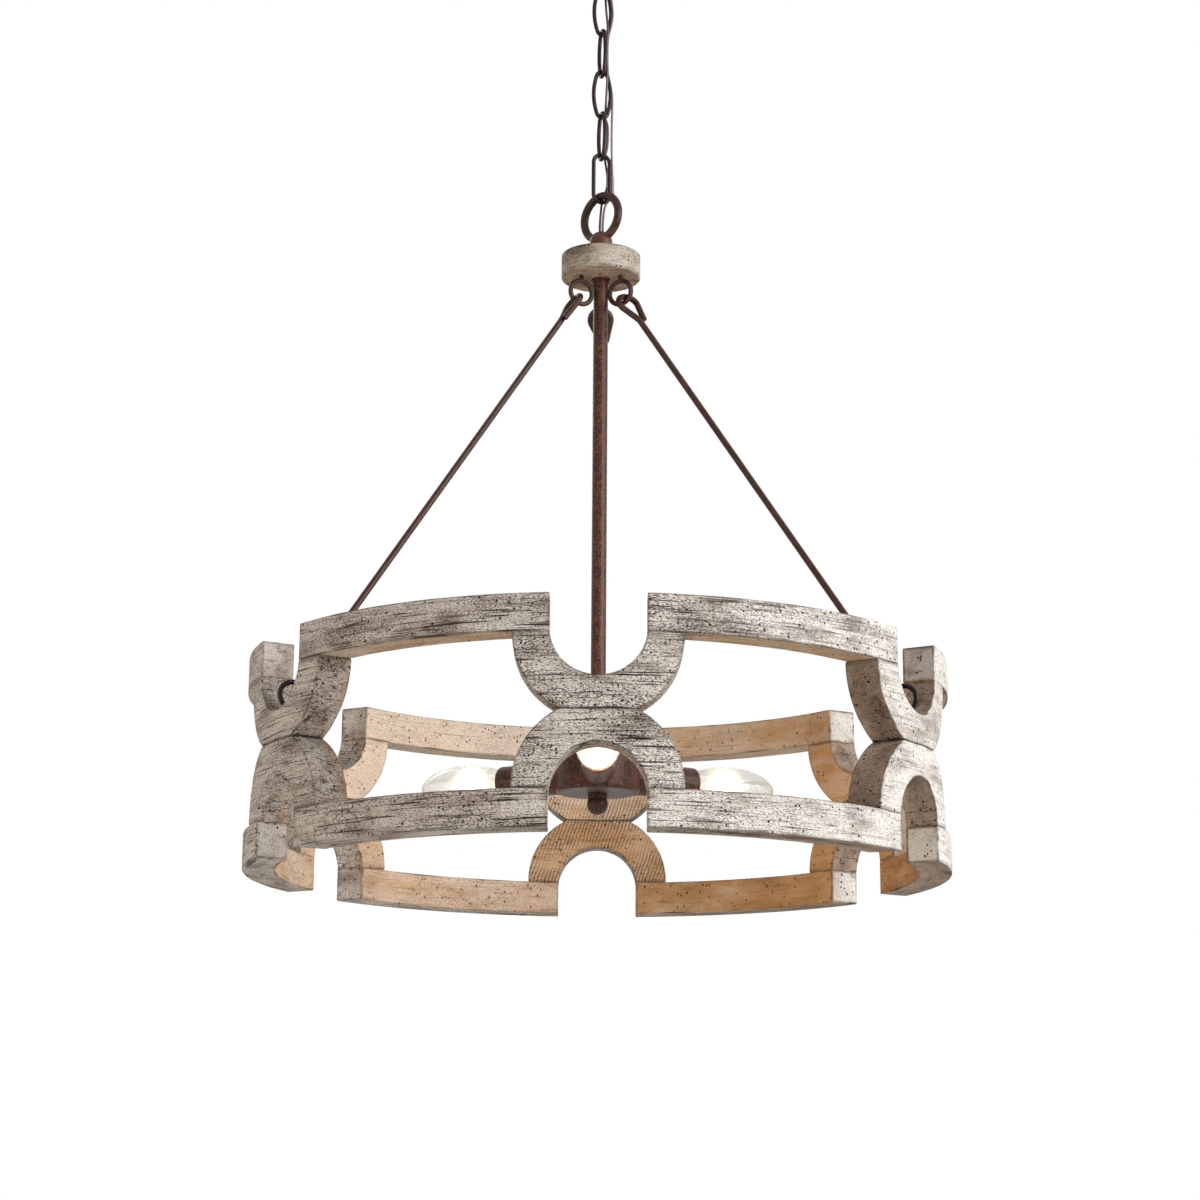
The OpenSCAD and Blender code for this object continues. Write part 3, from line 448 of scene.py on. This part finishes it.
def end_profile(ease, half):
    """How a board's end closes, as (how far in from the full section, how far back from the end)
    for each ring: a quarter circle, then ever smaller rings on the flat end."""
    q = np.radians(np.linspace(0, 90, 5))
    turn_in, back = ease * (1 - np.cos(q)), ease * (1 - np.sin(q))
    flat = np.array([0.12, 0.35, 0.65, 0.999]) * half
    return np.concatenate([turn_in, ease + flat]), np.concatenate([back, 0 * flat])


def mark(mesh, board, wear_and_painted_shade, coat_and_painted_light, grime_and_painted_light, sawn):
    """Stores the five attributes that limed wood reads."""
    for label, values in (("board", board), ("wear_and_painted_shade", wear_and_painted_shade), ("coat_and_painted_light", coat_and_painted_light)):
        attribute = mesh.attributes.new(label, "FLOAT_VECTOR", "POINT")
        attribute.data.foreach_set("vector", values.reshape(-1, 3).astype(np.float32).ravel())
    for label, values in (("grime_and_painted_light", grime_and_painted_light), ("sawn", sawn + 0 * grime_and_painted_light)):
        attribute = mesh.attributes.new(label, "FLOAT", "POINT")
        attribute.data.foreach_set("value", values.astype(np.float32).ravel())


def timber(name, length, width_at, place, number, batch):
    """A sawn piece: the section loop carried along it from s = 0 to s = 1. width_at(s) is the
    section's width, place(s, across, into) gives points and where they lie on the board, and the
    two ends close in eased rings. number seeds what is random, and batch holds the stations along
    the piece, its material, its wash, tone and saw marks, whether it has glue lines, and whether
    its underside was left unwashed. On the ring it also paints light and shade: a thicker wash and
    less dirt towards the right as painted light, and browner sawn sides there as painted shade.
    Returns an object with the attributes that limed wood reads."""
    fa, fb, oa, ob, near = section_loop()
    inset, back = end_profile(EASE, TIMBER / 2)
    inner_s = batch["stations"]
    s = np.concatenate([(back / length)[::-1], inner_s, 1 - back / length])
    cut = np.concatenate([inset[::-1], 0 * inner_s, inset])
    rng = np.random.default_rng(number)
    phase = rng.uniform(0, 6.28, 8)
    waves = sum(np.sin(s[:, None] * length * k * 90 + phase[i] + oa[None] * 2 + fb[None] * 3 * i)
                for i, k in enumerate((1.0, 1.7, 2.9, 4.3))) / 4
    ease = EASE * (1 + 0.45 * waves)
    width = width_at(s)[:, None]
    half = np.minimum(width, TIMBER) / 2
    cut = np.minimum(cut[:, None], half * 0.999)
    across = ease + fa * (width - 2 * ease) + ease * oa
    into = ease + fb * (TIMBER - 2 * ease) + ease * ob
    # the end rings shrink the whole section about its middle line
    across = width / 2 + (across - width / 2) * np.maximum(1 - 2 * cut / width, 0.001)
    into = TIMBER / 2 + (into - TIMBER / 2) * np.maximum(1 - 2 * cut / TIMBER, 0.001)
    points, board = place(np.broadcast_to(s[:, None], across.shape), across, into)
    piece = piece_from_grid(name, points, caps=(True, True), material=batch["wood"], crease=38)
    mesh = piece.data
    # rings on the flat of an end, and rings of its rounding
    on_end = np.concatenate([inset[::-1] > EASE * 1.01, 0 * inner_s, inset > EASE * 1.01])[:, None]
    rounding = np.concatenate([inset[::-1] < EASE * 1.2, 0 * inner_s, inset < EASE * 1.2])[:, None]
    edge = np.clip(near[None] * (1 - on_end) + 0.9 * rounding, 0, 1)
    depth = np.clip(into / TIMBER, 0, 1)
    # the last third of a side's depth turns bare, and so does an underside left unwashed
    lap = 0.45 * np.clip((depth - 0.6) / 0.3, 0, 1)
    if batch["bare_under"]:
        lap = np.where(oa[None] < -0.75, np.clip((depth - 0.03) / 0.12, 0, 1), lap)
    on_side = np.abs(oa[None]) > 0.75
    inner = np.where(on_side, lap, np.clip(ob[None], 0, 1)) * (1 - on_end)
    # the sawn sides are browner towards the ring's right and paler at its left: partly the sawn
    # wood's own colour, partly painted shade at the right and painted light at the left
    rightward = points[..., 0] / RING_R
    side_brown_and_painted_shade = 0.1 + 0.8 * np.clip(rightward + 0.4, 0, 1)
    side = on_side * (1 - lap) * side_brown_and_painted_shade * (1 - on_end) + 0.1 * on_end
    wear_and_painted_shade = np.stack([edge, inner, np.broadcast_to(side, across.shape)], -1)
    # painted highlight: the wash is made up to 15 % thicker towards the ring's right, where the key lamp
    # falls
    wash_and_painted_highlight = batch["wash"] * rng.uniform(0.94, 1.06) * (1 + 0.15 * np.clip(rightward, 0, 1))
    # a yoke's glue lines: a wide one where it meets the next yoke, and one across its arms
    rise = np.abs(board[..., 1])
    seam = np.minimum(0.45 * rise, np.abs(rise - SEAM_AT)) if batch["glued"] else 1 + 0 * rise
    coat_and_painted_light = np.stack([wash_and_painted_highlight, 0 * across + batch["tone"], seam], -1)
    shift = rng.uniform(-3, 3, 3)  # each piece is cut from another part of the wood
    # painted light: the outside's dirt thins towards the ring's right, where the key lamp falls, and a
    # little at its left; the sawn ends are clean
    grime_and_painted_light = 1 - 0.25 * np.clip(-rightward, 0, 1) - 0.75 * np.clip(rightward - 0.1, 0, 1)
    grime_and_painted_light = grime_and_painted_light * (1 - 0.5 * on_end)
    mark(mesh, board + shift, wear_and_painted_shade, coat_and_painted_light, grime_and_painted_light, batch["sawn"])
    return piece


def bar_place(n, low):
    """A bar between the openings at posts n and n + 1: at radius r it runs from the angle whose
    sine is half the gap over r to the mirror of that angle at the next post."""
    def place(s, up, into):
        r = RING_R - into
        first = np.arcsin(GAP / 2 / r)
        a = np.radians((n - 1) * 60) + first + (np.radians(60) - 2 * first) * s
        points = np.stack([r * np.sin(a), -r * np.cos(a), low + up], -1)
        board = np.stack([RING_R * (a - np.radians(n * 60 - 30)), low - MID + up, into], -1)
        return points, board
    return place


# Yoke outline: angles where the round outside starts, meets the flat foot on both sides, and ends
foot_angle = np.degrees(np.arcsin(YOKE_RISE / YOKE_R))
top_angle = np.degrees(np.arcsin((BAR_LOW - YOKE_RISE) / YOKE_R))
inner_angle = np.degrees(np.arcsin((YOKE_FLOOR + GAP / 2 - BAR_LOW) / (GAP / 2)))
outer_start, outer_sweep = 180 - top_angle, 180 + 2 * top_angle
foot_share = (180 + foot_angle - outer_start) / outer_sweep


def yoke_lines(s):
    """Inside and outside of a yoke at shares s round it, as x and height: the inside is part of
    a circle, the outside another, cut off flat at the middle of the ring."""
    q = np.radians(180 + inner_angle + (180 - 2 * inner_angle) * s)
    inside = np.stack([GAP / 2 * np.cos(q), YOKE_FLOOR + GAP / 2 + GAP / 2 * np.sin(q)], -1)
    q = np.radians(outer_start + outer_sweep * s)
    r = np.minimum(YOKE_R, YOKE_RISE / np.maximum(-np.sin(q), 1e-6))
    outside = np.stack([r * np.cos(q), YOKE_RISE + r * np.sin(q)], -1)
    return inside, outside


def yoke_place(n, way):
    """A yoke at post n, standing up from the ring's middle or, with way -1, hanging: a point
    across lies between its inside and outside lines, bent round the ring at its own depth."""
    def place(s, across, into):
        inside, outside = yoke_lines(s)
        gone = outside - inside
        length = np.linalg.norm(gone, axis=-1, keepdims=True)
        flat = inside + gone / length * across[..., None]
        x, h = flat[..., 0], flat[..., 1]
        y = -np.sqrt((RING_R - into) ** 2 - x ** 2)
        a = np.radians((n - 1) * 60)
        points = np.stack([x * np.cos(a) - y * np.sin(a), x * np.sin(a) + y * np.cos(a), MID + way * h], -1)
        return points, np.stack([x, way * h, into], -1)
    return place


def yoke_width(s):
    """Width of a yoke between its two lines."""
    inside, outside = yoke_lines(s)
    return np.linalg.norm(outside - inside, axis=-1)


ring_wood = limed_wood("limewashed sawn pine", lime="#e4e2de", raw="#957f6c", deep="#5f4a3a",
                       pale="#d2c6b8", tan="#b9966f", brown="#845a37")
bar_stations = np.linspace(0.012, 0.988, 46)
yoke_stations = np.unique(np.concatenate([np.linspace(0.02, foot_share, 20),
                                          np.linspace(foot_share, 1 - foot_share, 14),
                                          np.linspace(1 - foot_share, 0.98, 20)]))
bar_length = RING_R * (np.radians(60) - 2 * np.arcsin(GAP / 2 / RING_R))
for n in range(1, 7):
    for kind, low, number in (("upper_bar", MID + BAR_LOW, n), ("lower_bar", MID - RING_H / 2, 10 + n)):
        piece = timber(f"limed_{kind}_{n}", bar_length, lambda s: BAR_H + 0 * s, bar_place(n, low), number,
                       {"stations": bar_stations, "wood": ring_wood, "wash": 1.0, "sawn": BAR_SAWN,
                        "tone": BAR_TONE_AND_PAINTED_LIGHT[n - 1] + LOW_TONE * (kind == "lower_bar"),
                        "glued": False, "bare_under": kind == "upper_bar"})
        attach(piece, "timber_ring")
        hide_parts(f"{kind}_{n}")
    for kind, way, number in (("upper_yoke", 1, 20 + n), ("lower_arch", -1, 30 + n)):
        piece = timber(f"limed_{kind}_{n}", YOKE_LENGTH, yoke_width, yoke_place(n, way), number,
                       {"stations": yoke_stations, "wood": ring_wood, "wash": 0.94,
                        "sawn": POST_SAWN[n - 1], "tone": POST_TONE_AND_PAINTED_LIGHT[n - 1] + LOW_TONE * (way < 0),
                        "glued": True, "bare_under": False})
        if way < 0:
            piece.data.flip_normals()
        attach(piece, "timber_ring")
        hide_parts(f"{kind}_{n}")

# Timber disc
# A turned round of the same wood, bored for the stem and held up under the fixture's ring by the
# stem's collar. It is limewashed all over, thinly on its underside.

DISC_R, DISC_TOP_EDGE, DISC_LOW_EDGE = 0.036, 0.001, 0.002
DISC_BORE_R = 0.00685  # just clear of the stem
LOW_RIM, HIGH_RIM = 0.0022, 0.0018  # how far the dirt of the worn edges reaches
disc_low, disc_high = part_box("wood_disc")


def turned(name, profile, sides=96, centre=(0, 0, 0), way=None, material=None, crease=40,
           caps=(False, False), closed=True):
    """A turned piece: a profile of radii and heights carried round an axis. The axis is upright,
    or points level outwards at the angle way, in degrees from -Y."""
    profile = np.asarray(profile, float)
    a = np.linspace(0, 2 * np.pi, sides, endpoint=False)
    r, h = profile[:, 0][:, None], profile[:, 1][:, None]
    x, y, z = r * np.cos(a), r * np.sin(a), h + 0 * a
    if way is not None:
        q = np.radians(way)
        x, y, z = (x * np.cos(q) + z * np.sin(q), x * np.sin(q) - z * np.cos(q), y)
    grid = np.stack([x, y, z], -1) + np.array(centre)
    return piece_from_grid(name, grid, wrap_rows=closed, caps=caps, material=material, crease=crease)


def arc(r0, h0, radius, start, stop, steps=8):
    """Points on an arc of a profile, about the point (r0, h0), angles in degrees from outwards."""
    q = np.radians(np.linspace(start, stop, steps + 1))
    return np.stack([r0 + radius * np.cos(q), h0 + radius * np.sin(q)], -1)


def dense(profile, step):
    """The same profile with points no further apart than step, closed round to its start."""
    profile = np.vstack([profile, profile[:1]])
    out = []
    for a, b in zip(profile[:-1], profile[1:]):
        n = max(1, int(np.ceil(np.linalg.norm(b - a) / step)))
        out.append(a + (b - a) * (np.arange(n) / n)[:, None])
    return np.vstack(out)


disc_profile = dense(np.vstack([
    [(DISC_BORE_R, disc_low.z)],
    arc(DISC_R - DISC_LOW_EDGE, disc_low.z + DISC_LOW_EDGE, DISC_LOW_EDGE, -90, 0, 5),
    arc(DISC_R - DISC_TOP_EDGE, disc_high.z - DISC_TOP_EDGE, DISC_TOP_EDGE, 0, 90, 4),
    [(DISC_BORE_R, disc_high.z)]]), 0.003)
disc = turned("limed_disc", disc_profile, sides=120, crease=50)
co = np.empty(len(disc.data.vertices) * 3)
disc.data.vertices.foreach_get("co", co)
co = co.reshape(-1, 3)
radius, height = np.hypot(co[:, 0], co[:, 1]), co[:, 2]
rim = np.maximum(np.exp(-np.hypot(radius - DISC_R, height - disc_low.z) / LOW_RIM),
                 0.6 * np.exp(-np.hypot(radius - DISC_R, height - disc_high.z) / HIGH_RIM))
under = (height < disc_low.z + 0.0004) * 1.0
disc_board = np.stack([co[:, 0], height, co[:, 1]], -1) + (0.4, 0.9, 1.3)  # another part of the wood
disc_wear = np.stack([rim, 0.35 * under, 0.2 * under], -1)
# the wash is thin on the upper left and thick in a low band
THIN_TOWARDS = 215  # degrees from +X
up = np.clip((height - disc_low.z) / (disc_high.z - disc_low.z), 0, 1)
leftward = np.cos(np.arctan2(co[:, 1], co[:, 0]) - np.radians(THIN_TOWARDS))
disc_wash = 0.78 + 0.3 * np.exp(-((up - 0.28) / 0.14) ** 2) - 0.45 * np.clip(leftward, 0, 1) ** 2 * up
disc_coat = np.stack([disc_wash, 0.45 + 0 * rim, 1 + 0 * rim], -1)
mark(disc.data, disc_board, disc_wear, disc_coat, 0.6 + 0 * rim, 0.0)
disc.data.materials.append(limed_wood("limewashed turned pine", lime="#d2cdc4", raw="#8d7a68",
                                      deep="#6b5847", pale="#c9b297", tan="#b0906c", brown="#7c5a40"))
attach(disc, "fixture")
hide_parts("wood_disc")

# Rust finish
# The iron and steel that shows is sprayed dark brown, then sponged with lighter red and pink
# browns and rubbed with wax, so that it looks like old, clean iron.

FOOT_RISE = 0.0235  # height of the fixture ring's domed foot above the timber disc


def rust_paint(name, deep, mid_tone, light, sheen, red_below=None):
    """Sponged paint over iron: 4 to 8 mm clouds of two browns, 1 mm grains of a lighter one,
    a fine sanded texture and a waxed satin gloss. Below the height red_below it is rubbed
    through to its rusty red undercoat."""
    material, tree = new_material(name)
    at = add(tree, "TexCoord").outputs["Object"]
    clouds = add(tree, "TexNoise", {"Vector": at, "Scale": 170.0, "Detail": 4.0, "Roughness": 0.65})
    grains = add(tree, "TexNoise", {"Vector": at, "Scale": 850.0, "Detail": 2.0, "Roughness": 0.6})
    mottled = add(tree, "MapRange", {0: clouds, 1: 0.38, 2: 0.62}, interpolation_type="SMOOTHSTEP")
    two = add(tree, "MixRGB", {"Fac": mottled, "Color1": srgb(deep), "Color2": srgb(mid_tone)})
    sponged = add(tree, "MapRange", {0: grains, 1: 0.52, 2: 0.66, 3: 0.0, 4: 0.75})
    colour = add(tree, "MixRGB", {"Fac": sponged, "Color1": two, "Color2": srgb(light)})
    if red_below is not None:
        height = add(tree, "SeparateXYZ", {0: at}).outputs["Z"]
        low = add(tree, "MapRange", {0: height, 1: red_below + 0.001, 2: red_below - 0.003,
                                     3: 0.0, 4: 0.4})
        colour = add(tree, "MixRGB", {"Fac": low, "Color1": colour, "Color2": srgb("#7d4f40")})
    rough = add(tree, "MapRange", {0: clouds, 1: 0.3, 2: 0.7, 3: sheen - 0.08, 4: sheen + 0.14})
    both = add(tree, "Math", {0: clouds, 1: grains}, operation="ADD")
    bump = add(tree, "Bump", {"Height": both, "Strength": 0.35, "Distance": 0.0004})
    skin = add(tree, "BsdfPrincipled", {"Base Color": colour, "Roughness": rough, "IOR": 1.5,
                                        "Specular IOR Level": 0.2, "Normal": bump})
    add(tree, "OutputMaterial", {"Surface": skin})
    return material


rust = rust_paint("sponged rust-brown paint on iron", "#28180f", "#533025", "#855d50", sheen=0.36)
wire = rust_paint("rust-brown paint on drawn wire", "#2c1a15", "#452a22", "#5e4136", sheen=0.34)
casting = rust_paint("rust-brown paint on cast iron", "#261612", "#3f2620", "#5a3d33", sheen=0.34,
                     red_below=disc_high.z + FOOT_RISE)
dark = rust_paint("dark brown waxed iron", "#120c0b", "#241714", "#40302a", sheen=0.28)
plate = rust_paint("rubbed brown paint on sheet steel", "#4b3b34", "#62504a", "#7f6e66", sheen=0.42)

dress(rust, "canopy", "collar_ring", "canopy_loop", "stem", "stem_collar", "hub_dome", "socket_cups")
dress(casting, "fixture_loop")
dress(wire, "rod_right", "rod_back", "rod_left", "disc_eyes", "finial")
dress(plate, "hub_plate")
dress(dark, "frame_eyes", *[f"link_{n}" for n in range(1, 6)])

# Hidden steel
# Crossbar, pipe and nuts inside the canopy and the hub: cold-rolled and turned steel with thin
# bright zinc, screwed together. The ground screw is lacquered green.


def zinc_steel(name, tone):
    """Zinc on steel: grey metal with faint 3 mm clouds and fine rolling lines along x."""
    material, tree = new_material(name)
    at = add(tree, "TexCoord").outputs["Object"]
    lines = add(tree, "TexNoise", {"Vector": add(tree, "Mapping", {"Vector": at, "Scale": (0.1, 1, 1)}),
                                   "Scale": 1200.0, "Detail": 2.0})
    clouds = add(tree, "TexNoise", {"Vector": at, "Scale": 300.0, "Detail": 3.0})
    colour = add(tree, "MixRGB", {"Fac": clouds, "Color1": srgb(tone), "Color2": srgb("#b9bcbd")})
    rough = add(tree, "MapRange", {0: clouds, 1: 0.3, 2: 0.7, 3: 0.3, 4: 0.46})
    bump = add(tree, "Bump", {"Height": lines, "Strength": 0.1, "Distance": 0.0002})
    skin = add(tree, "BsdfPrincipled", {"Base Color": colour, "Metallic": 1.0, "Roughness": rough,
                                        "Normal": bump})
    add(tree, "OutputMaterial", {"Surface": skin})
    return material


dress(zinc_steel("zinc-plated steel", "#8f9394"), "crossbar", "nipple", "lock_nut", "hub_nut")
dress(satin_plastic("green lacquer", "#2f5a38", "#417049"), "ground_screw")

# Lights
# Three candle bulbs in level sockets: clear blown glass, drawn to a rounded tip, on a rolled
# brass screw base, with a small hot filament on a glass stem. They are lit.

LIGHT_Z = MID - 0.001  # height of the three bulbs' axes
GLASS_START, GLASS_L = 0.084, 0.099  # where the glass starts, from the hub's axis, and its length
GLASS_WIDE_AT = 0.054  # how far along it the glass is widest
GLASS_NECK_R, GLASS_R, GLASS_WALL = 0.0062, 0.0184, 0.0008
FILAMENT_AT = 0.131  # distance of the filament from the hub's axis
FILAMENT_L, FILAMENT_BOW = 0.010, 0.004
COIL_R, COIL_WIRE_R = 0.0008, 0.0003


def glass_radius(x):
    """Radius of a bulb's glass at a distance along it: a sine swell to the widest place, then a
    slightly slimmed ellipse to the tip."""
    rise = np.sin(np.pi / 2 * np.minimum(x / GLASS_WIDE_AT, 1)) ** 0.85
    swell = GLASS_NECK_R + (GLASS_R - GLASS_NECK_R) * rise
    t = np.clip((x - GLASS_WIDE_AT) / (GLASS_L - GLASS_WIDE_AT), 0, 1)
    return np.where(x < GLASS_WIDE_AT, swell, GLASS_R * np.sqrt(1 - t * t) * (1 - 0.06 * t * t))


def clear_glass(name):
    """Thin blown soda glass: clear and smooth, index 1.5. Half the view goes straight through the
    thin wall, and light from the filament and the lamps passes it without a shadow."""
    material, tree = new_material(name)
    glass = add(tree, "BsdfPrincipled", {"Base Color": srgb("#fbf9f5"), "Roughness": 0.0, "IOR": 1.5,
                                         "Transmission Weight": 1.0})
    clear = add(tree, "BsdfTransparent", {"Color": srgb("#fdfcfa")})
    path = add(tree, "LightPath")
    through = add(tree, "Math", {0: path.outputs["Is Shadow Ray"], 1: path.outputs["Is Diffuse Ray"]},
                  operation="MAXIMUM")
    through = add(tree, "Math", {0: through, 1: 0.5}, operation="MAXIMUM")
    wall = add(tree, "MixShader", {0: through, 1: glass, 2: clear})
    add(tree, "OutputMaterial", {"Surface": wall})
    return material


def hot_filament(name):
    """Tungsten at white heat."""
    material, tree = new_material(name)
    heat = add(tree, "Emission", {"Color": srgb("#ffe2b0"), "Strength": 60.0})
    add(tree, "OutputMaterial", {"Surface": heat})
    return material


def glow(name, colour, strength, cover):
    """Painted glare round the filament: a thin emissive veil that stands in for the glare of the lit
    bulb, shines and hides little, and that only the camera and the glass see."""
    material, tree = new_material(name)
    veil = add(tree, "Emission", {"Color": srgb(colour), "Strength": strength})
    clear = add(tree, "BsdfTransparent", {"Color": srgb("#ffffff")})
    shown = add(tree, "Math", {0: seen_directly(tree), 1: cover}, operation="MULTIPLY")
    painted_glare = add(tree, "MixShader", {0: shown, 1: clear, 2: veil})
    add(tree, "OutputMaterial", {"Surface": painted_glare})
    return material


def brass(name):
    """Rolled brass sheet, lacquered: warm yellow metal with faint dull clouds."""
    material, tree = new_material(name)
    at = add(tree, "TexCoord").outputs["Object"]
    clouds = add(tree, "TexNoise", {"Vector": at, "Scale": 420.0, "Detail": 3.0})
    colour = add(tree, "MixRGB", {"Fac": clouds, "Color1": srgb("#b8975a"), "Color2": srgb("#d8bd84")})
    rough = add(tree, "MapRange", {0: clouds, 1: 0.3, 2: 0.7, 3: 0.22, 4: 0.4})
    skin = add(tree, "BsdfPrincipled", {"Base Color": colour, "Metallic": 1.0, "Roughness": rough})
    add(tree, "OutputMaterial", {"Surface": skin})
    return material


glass, tungsten = clear_glass("clear soda glass"), hot_filament("tungsten at white heat")
# Painted glare round the filament, shells from the filament outwards: radius, and its material
PAINTED_GLARE_VEILS = ((0.0080, glow("white core of the haze", "#fff8ea", 2.8, 0.9)),
         (0.0122, glow("bright haze", "#fff5e2", 2.3, 0.6)),
         (0.0170, glow("faint haze", "#fff0da", 1.8, 0.4)))
dress(brass("lacquered brass"), "bulb_base_1", "bulb_base_2", "bulb_base_3")
dress(satin_plastic("cream phenolic moulding", "#d9d2c0", "#efe9dc"), "socket_cores")

to_tip = np.sin(np.linspace(0, np.pi / 2, 30))
along_glass = np.concatenate([np.linspace(0, GLASS_WIDE_AT, 28, endpoint=False),
                              GLASS_WIDE_AT + (GLASS_L - GLASS_WIDE_AT) * to_tip])
centre, upwards = np.array([0, 0, LIGHT_Z]), np.array([0, 0, 1])
for k in (1, 2, 3):
    way = 120 * (k - 1)
    q = np.radians(way)
    out = np.array([np.sin(q), -np.cos(q), 0])
    side = np.array([np.cos(q), np.sin(q), 0])
    r = glass_radius(along_glass)
    outer = np.stack([np.maximum(r, 1e-5), GLASS_START + along_glass], -1)
    inner_r = np.maximum(r - GLASS_WALL, 1e-5)
    inner = np.stack([inner_r, GLASS_START + np.minimum(along_glass, GLASS_L - GLASS_WALL)], -1)
    envelope = turned(f"glass_envelope_{k}", np.vstack([outer, inner[::-1]]), centre=centre, way=way,
                      material=glass, sides=72)
    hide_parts(f"bulb_glass_{k}")
    turns = np.linspace(0, 1, 90)
    bowed = FILAMENT_AT + FILAMENT_BOW * (np.sin(np.pi * turns) - 0.5)
    coil = (centre + out * bowed[:, None] + side * (FILAMENT_L * (turns - 0.5))[:, None]
            + COIL_R * (np.cos(60 * turns)[:, None] * out + np.sin(60 * turns)[:, None] * upwards))
    filament = tube(f"filament_{k}", coil, COIL_WIRE_R, sides=6, material=tungsten)
    pieces = [envelope, filament]
    # shells of painted glare round the filament
    for i, (size, veil) in enumerate(PAINTED_GLARE_VEILS):
        shell = np.maximum(arc(0, FILAMENT_AT, size, -90, 90, 24), (1e-5, 0))
        pieces.append(turned(f"haze_{k}_{i + 1}", shell, centre=centre, way=way, material=veil, sides=48,
                             closed=False, caps=(True, True)))
    warm = bpy.data.objects.new(f"light_{k}", bpy.data.lights.new(f"light_{k}", "POINT"))
    warm.data.energy, warm.data.color, warm.data.shadow_soft_size = 0.28, srgb("#ffcf9a")[:3], 0.004
    warm.location = centre + out * FILAMENT_AT
    scene.collection.objects.link(warm)
    warm.parent = filament
    for piece in pieces:
        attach(piece, f"lamp_{k}")
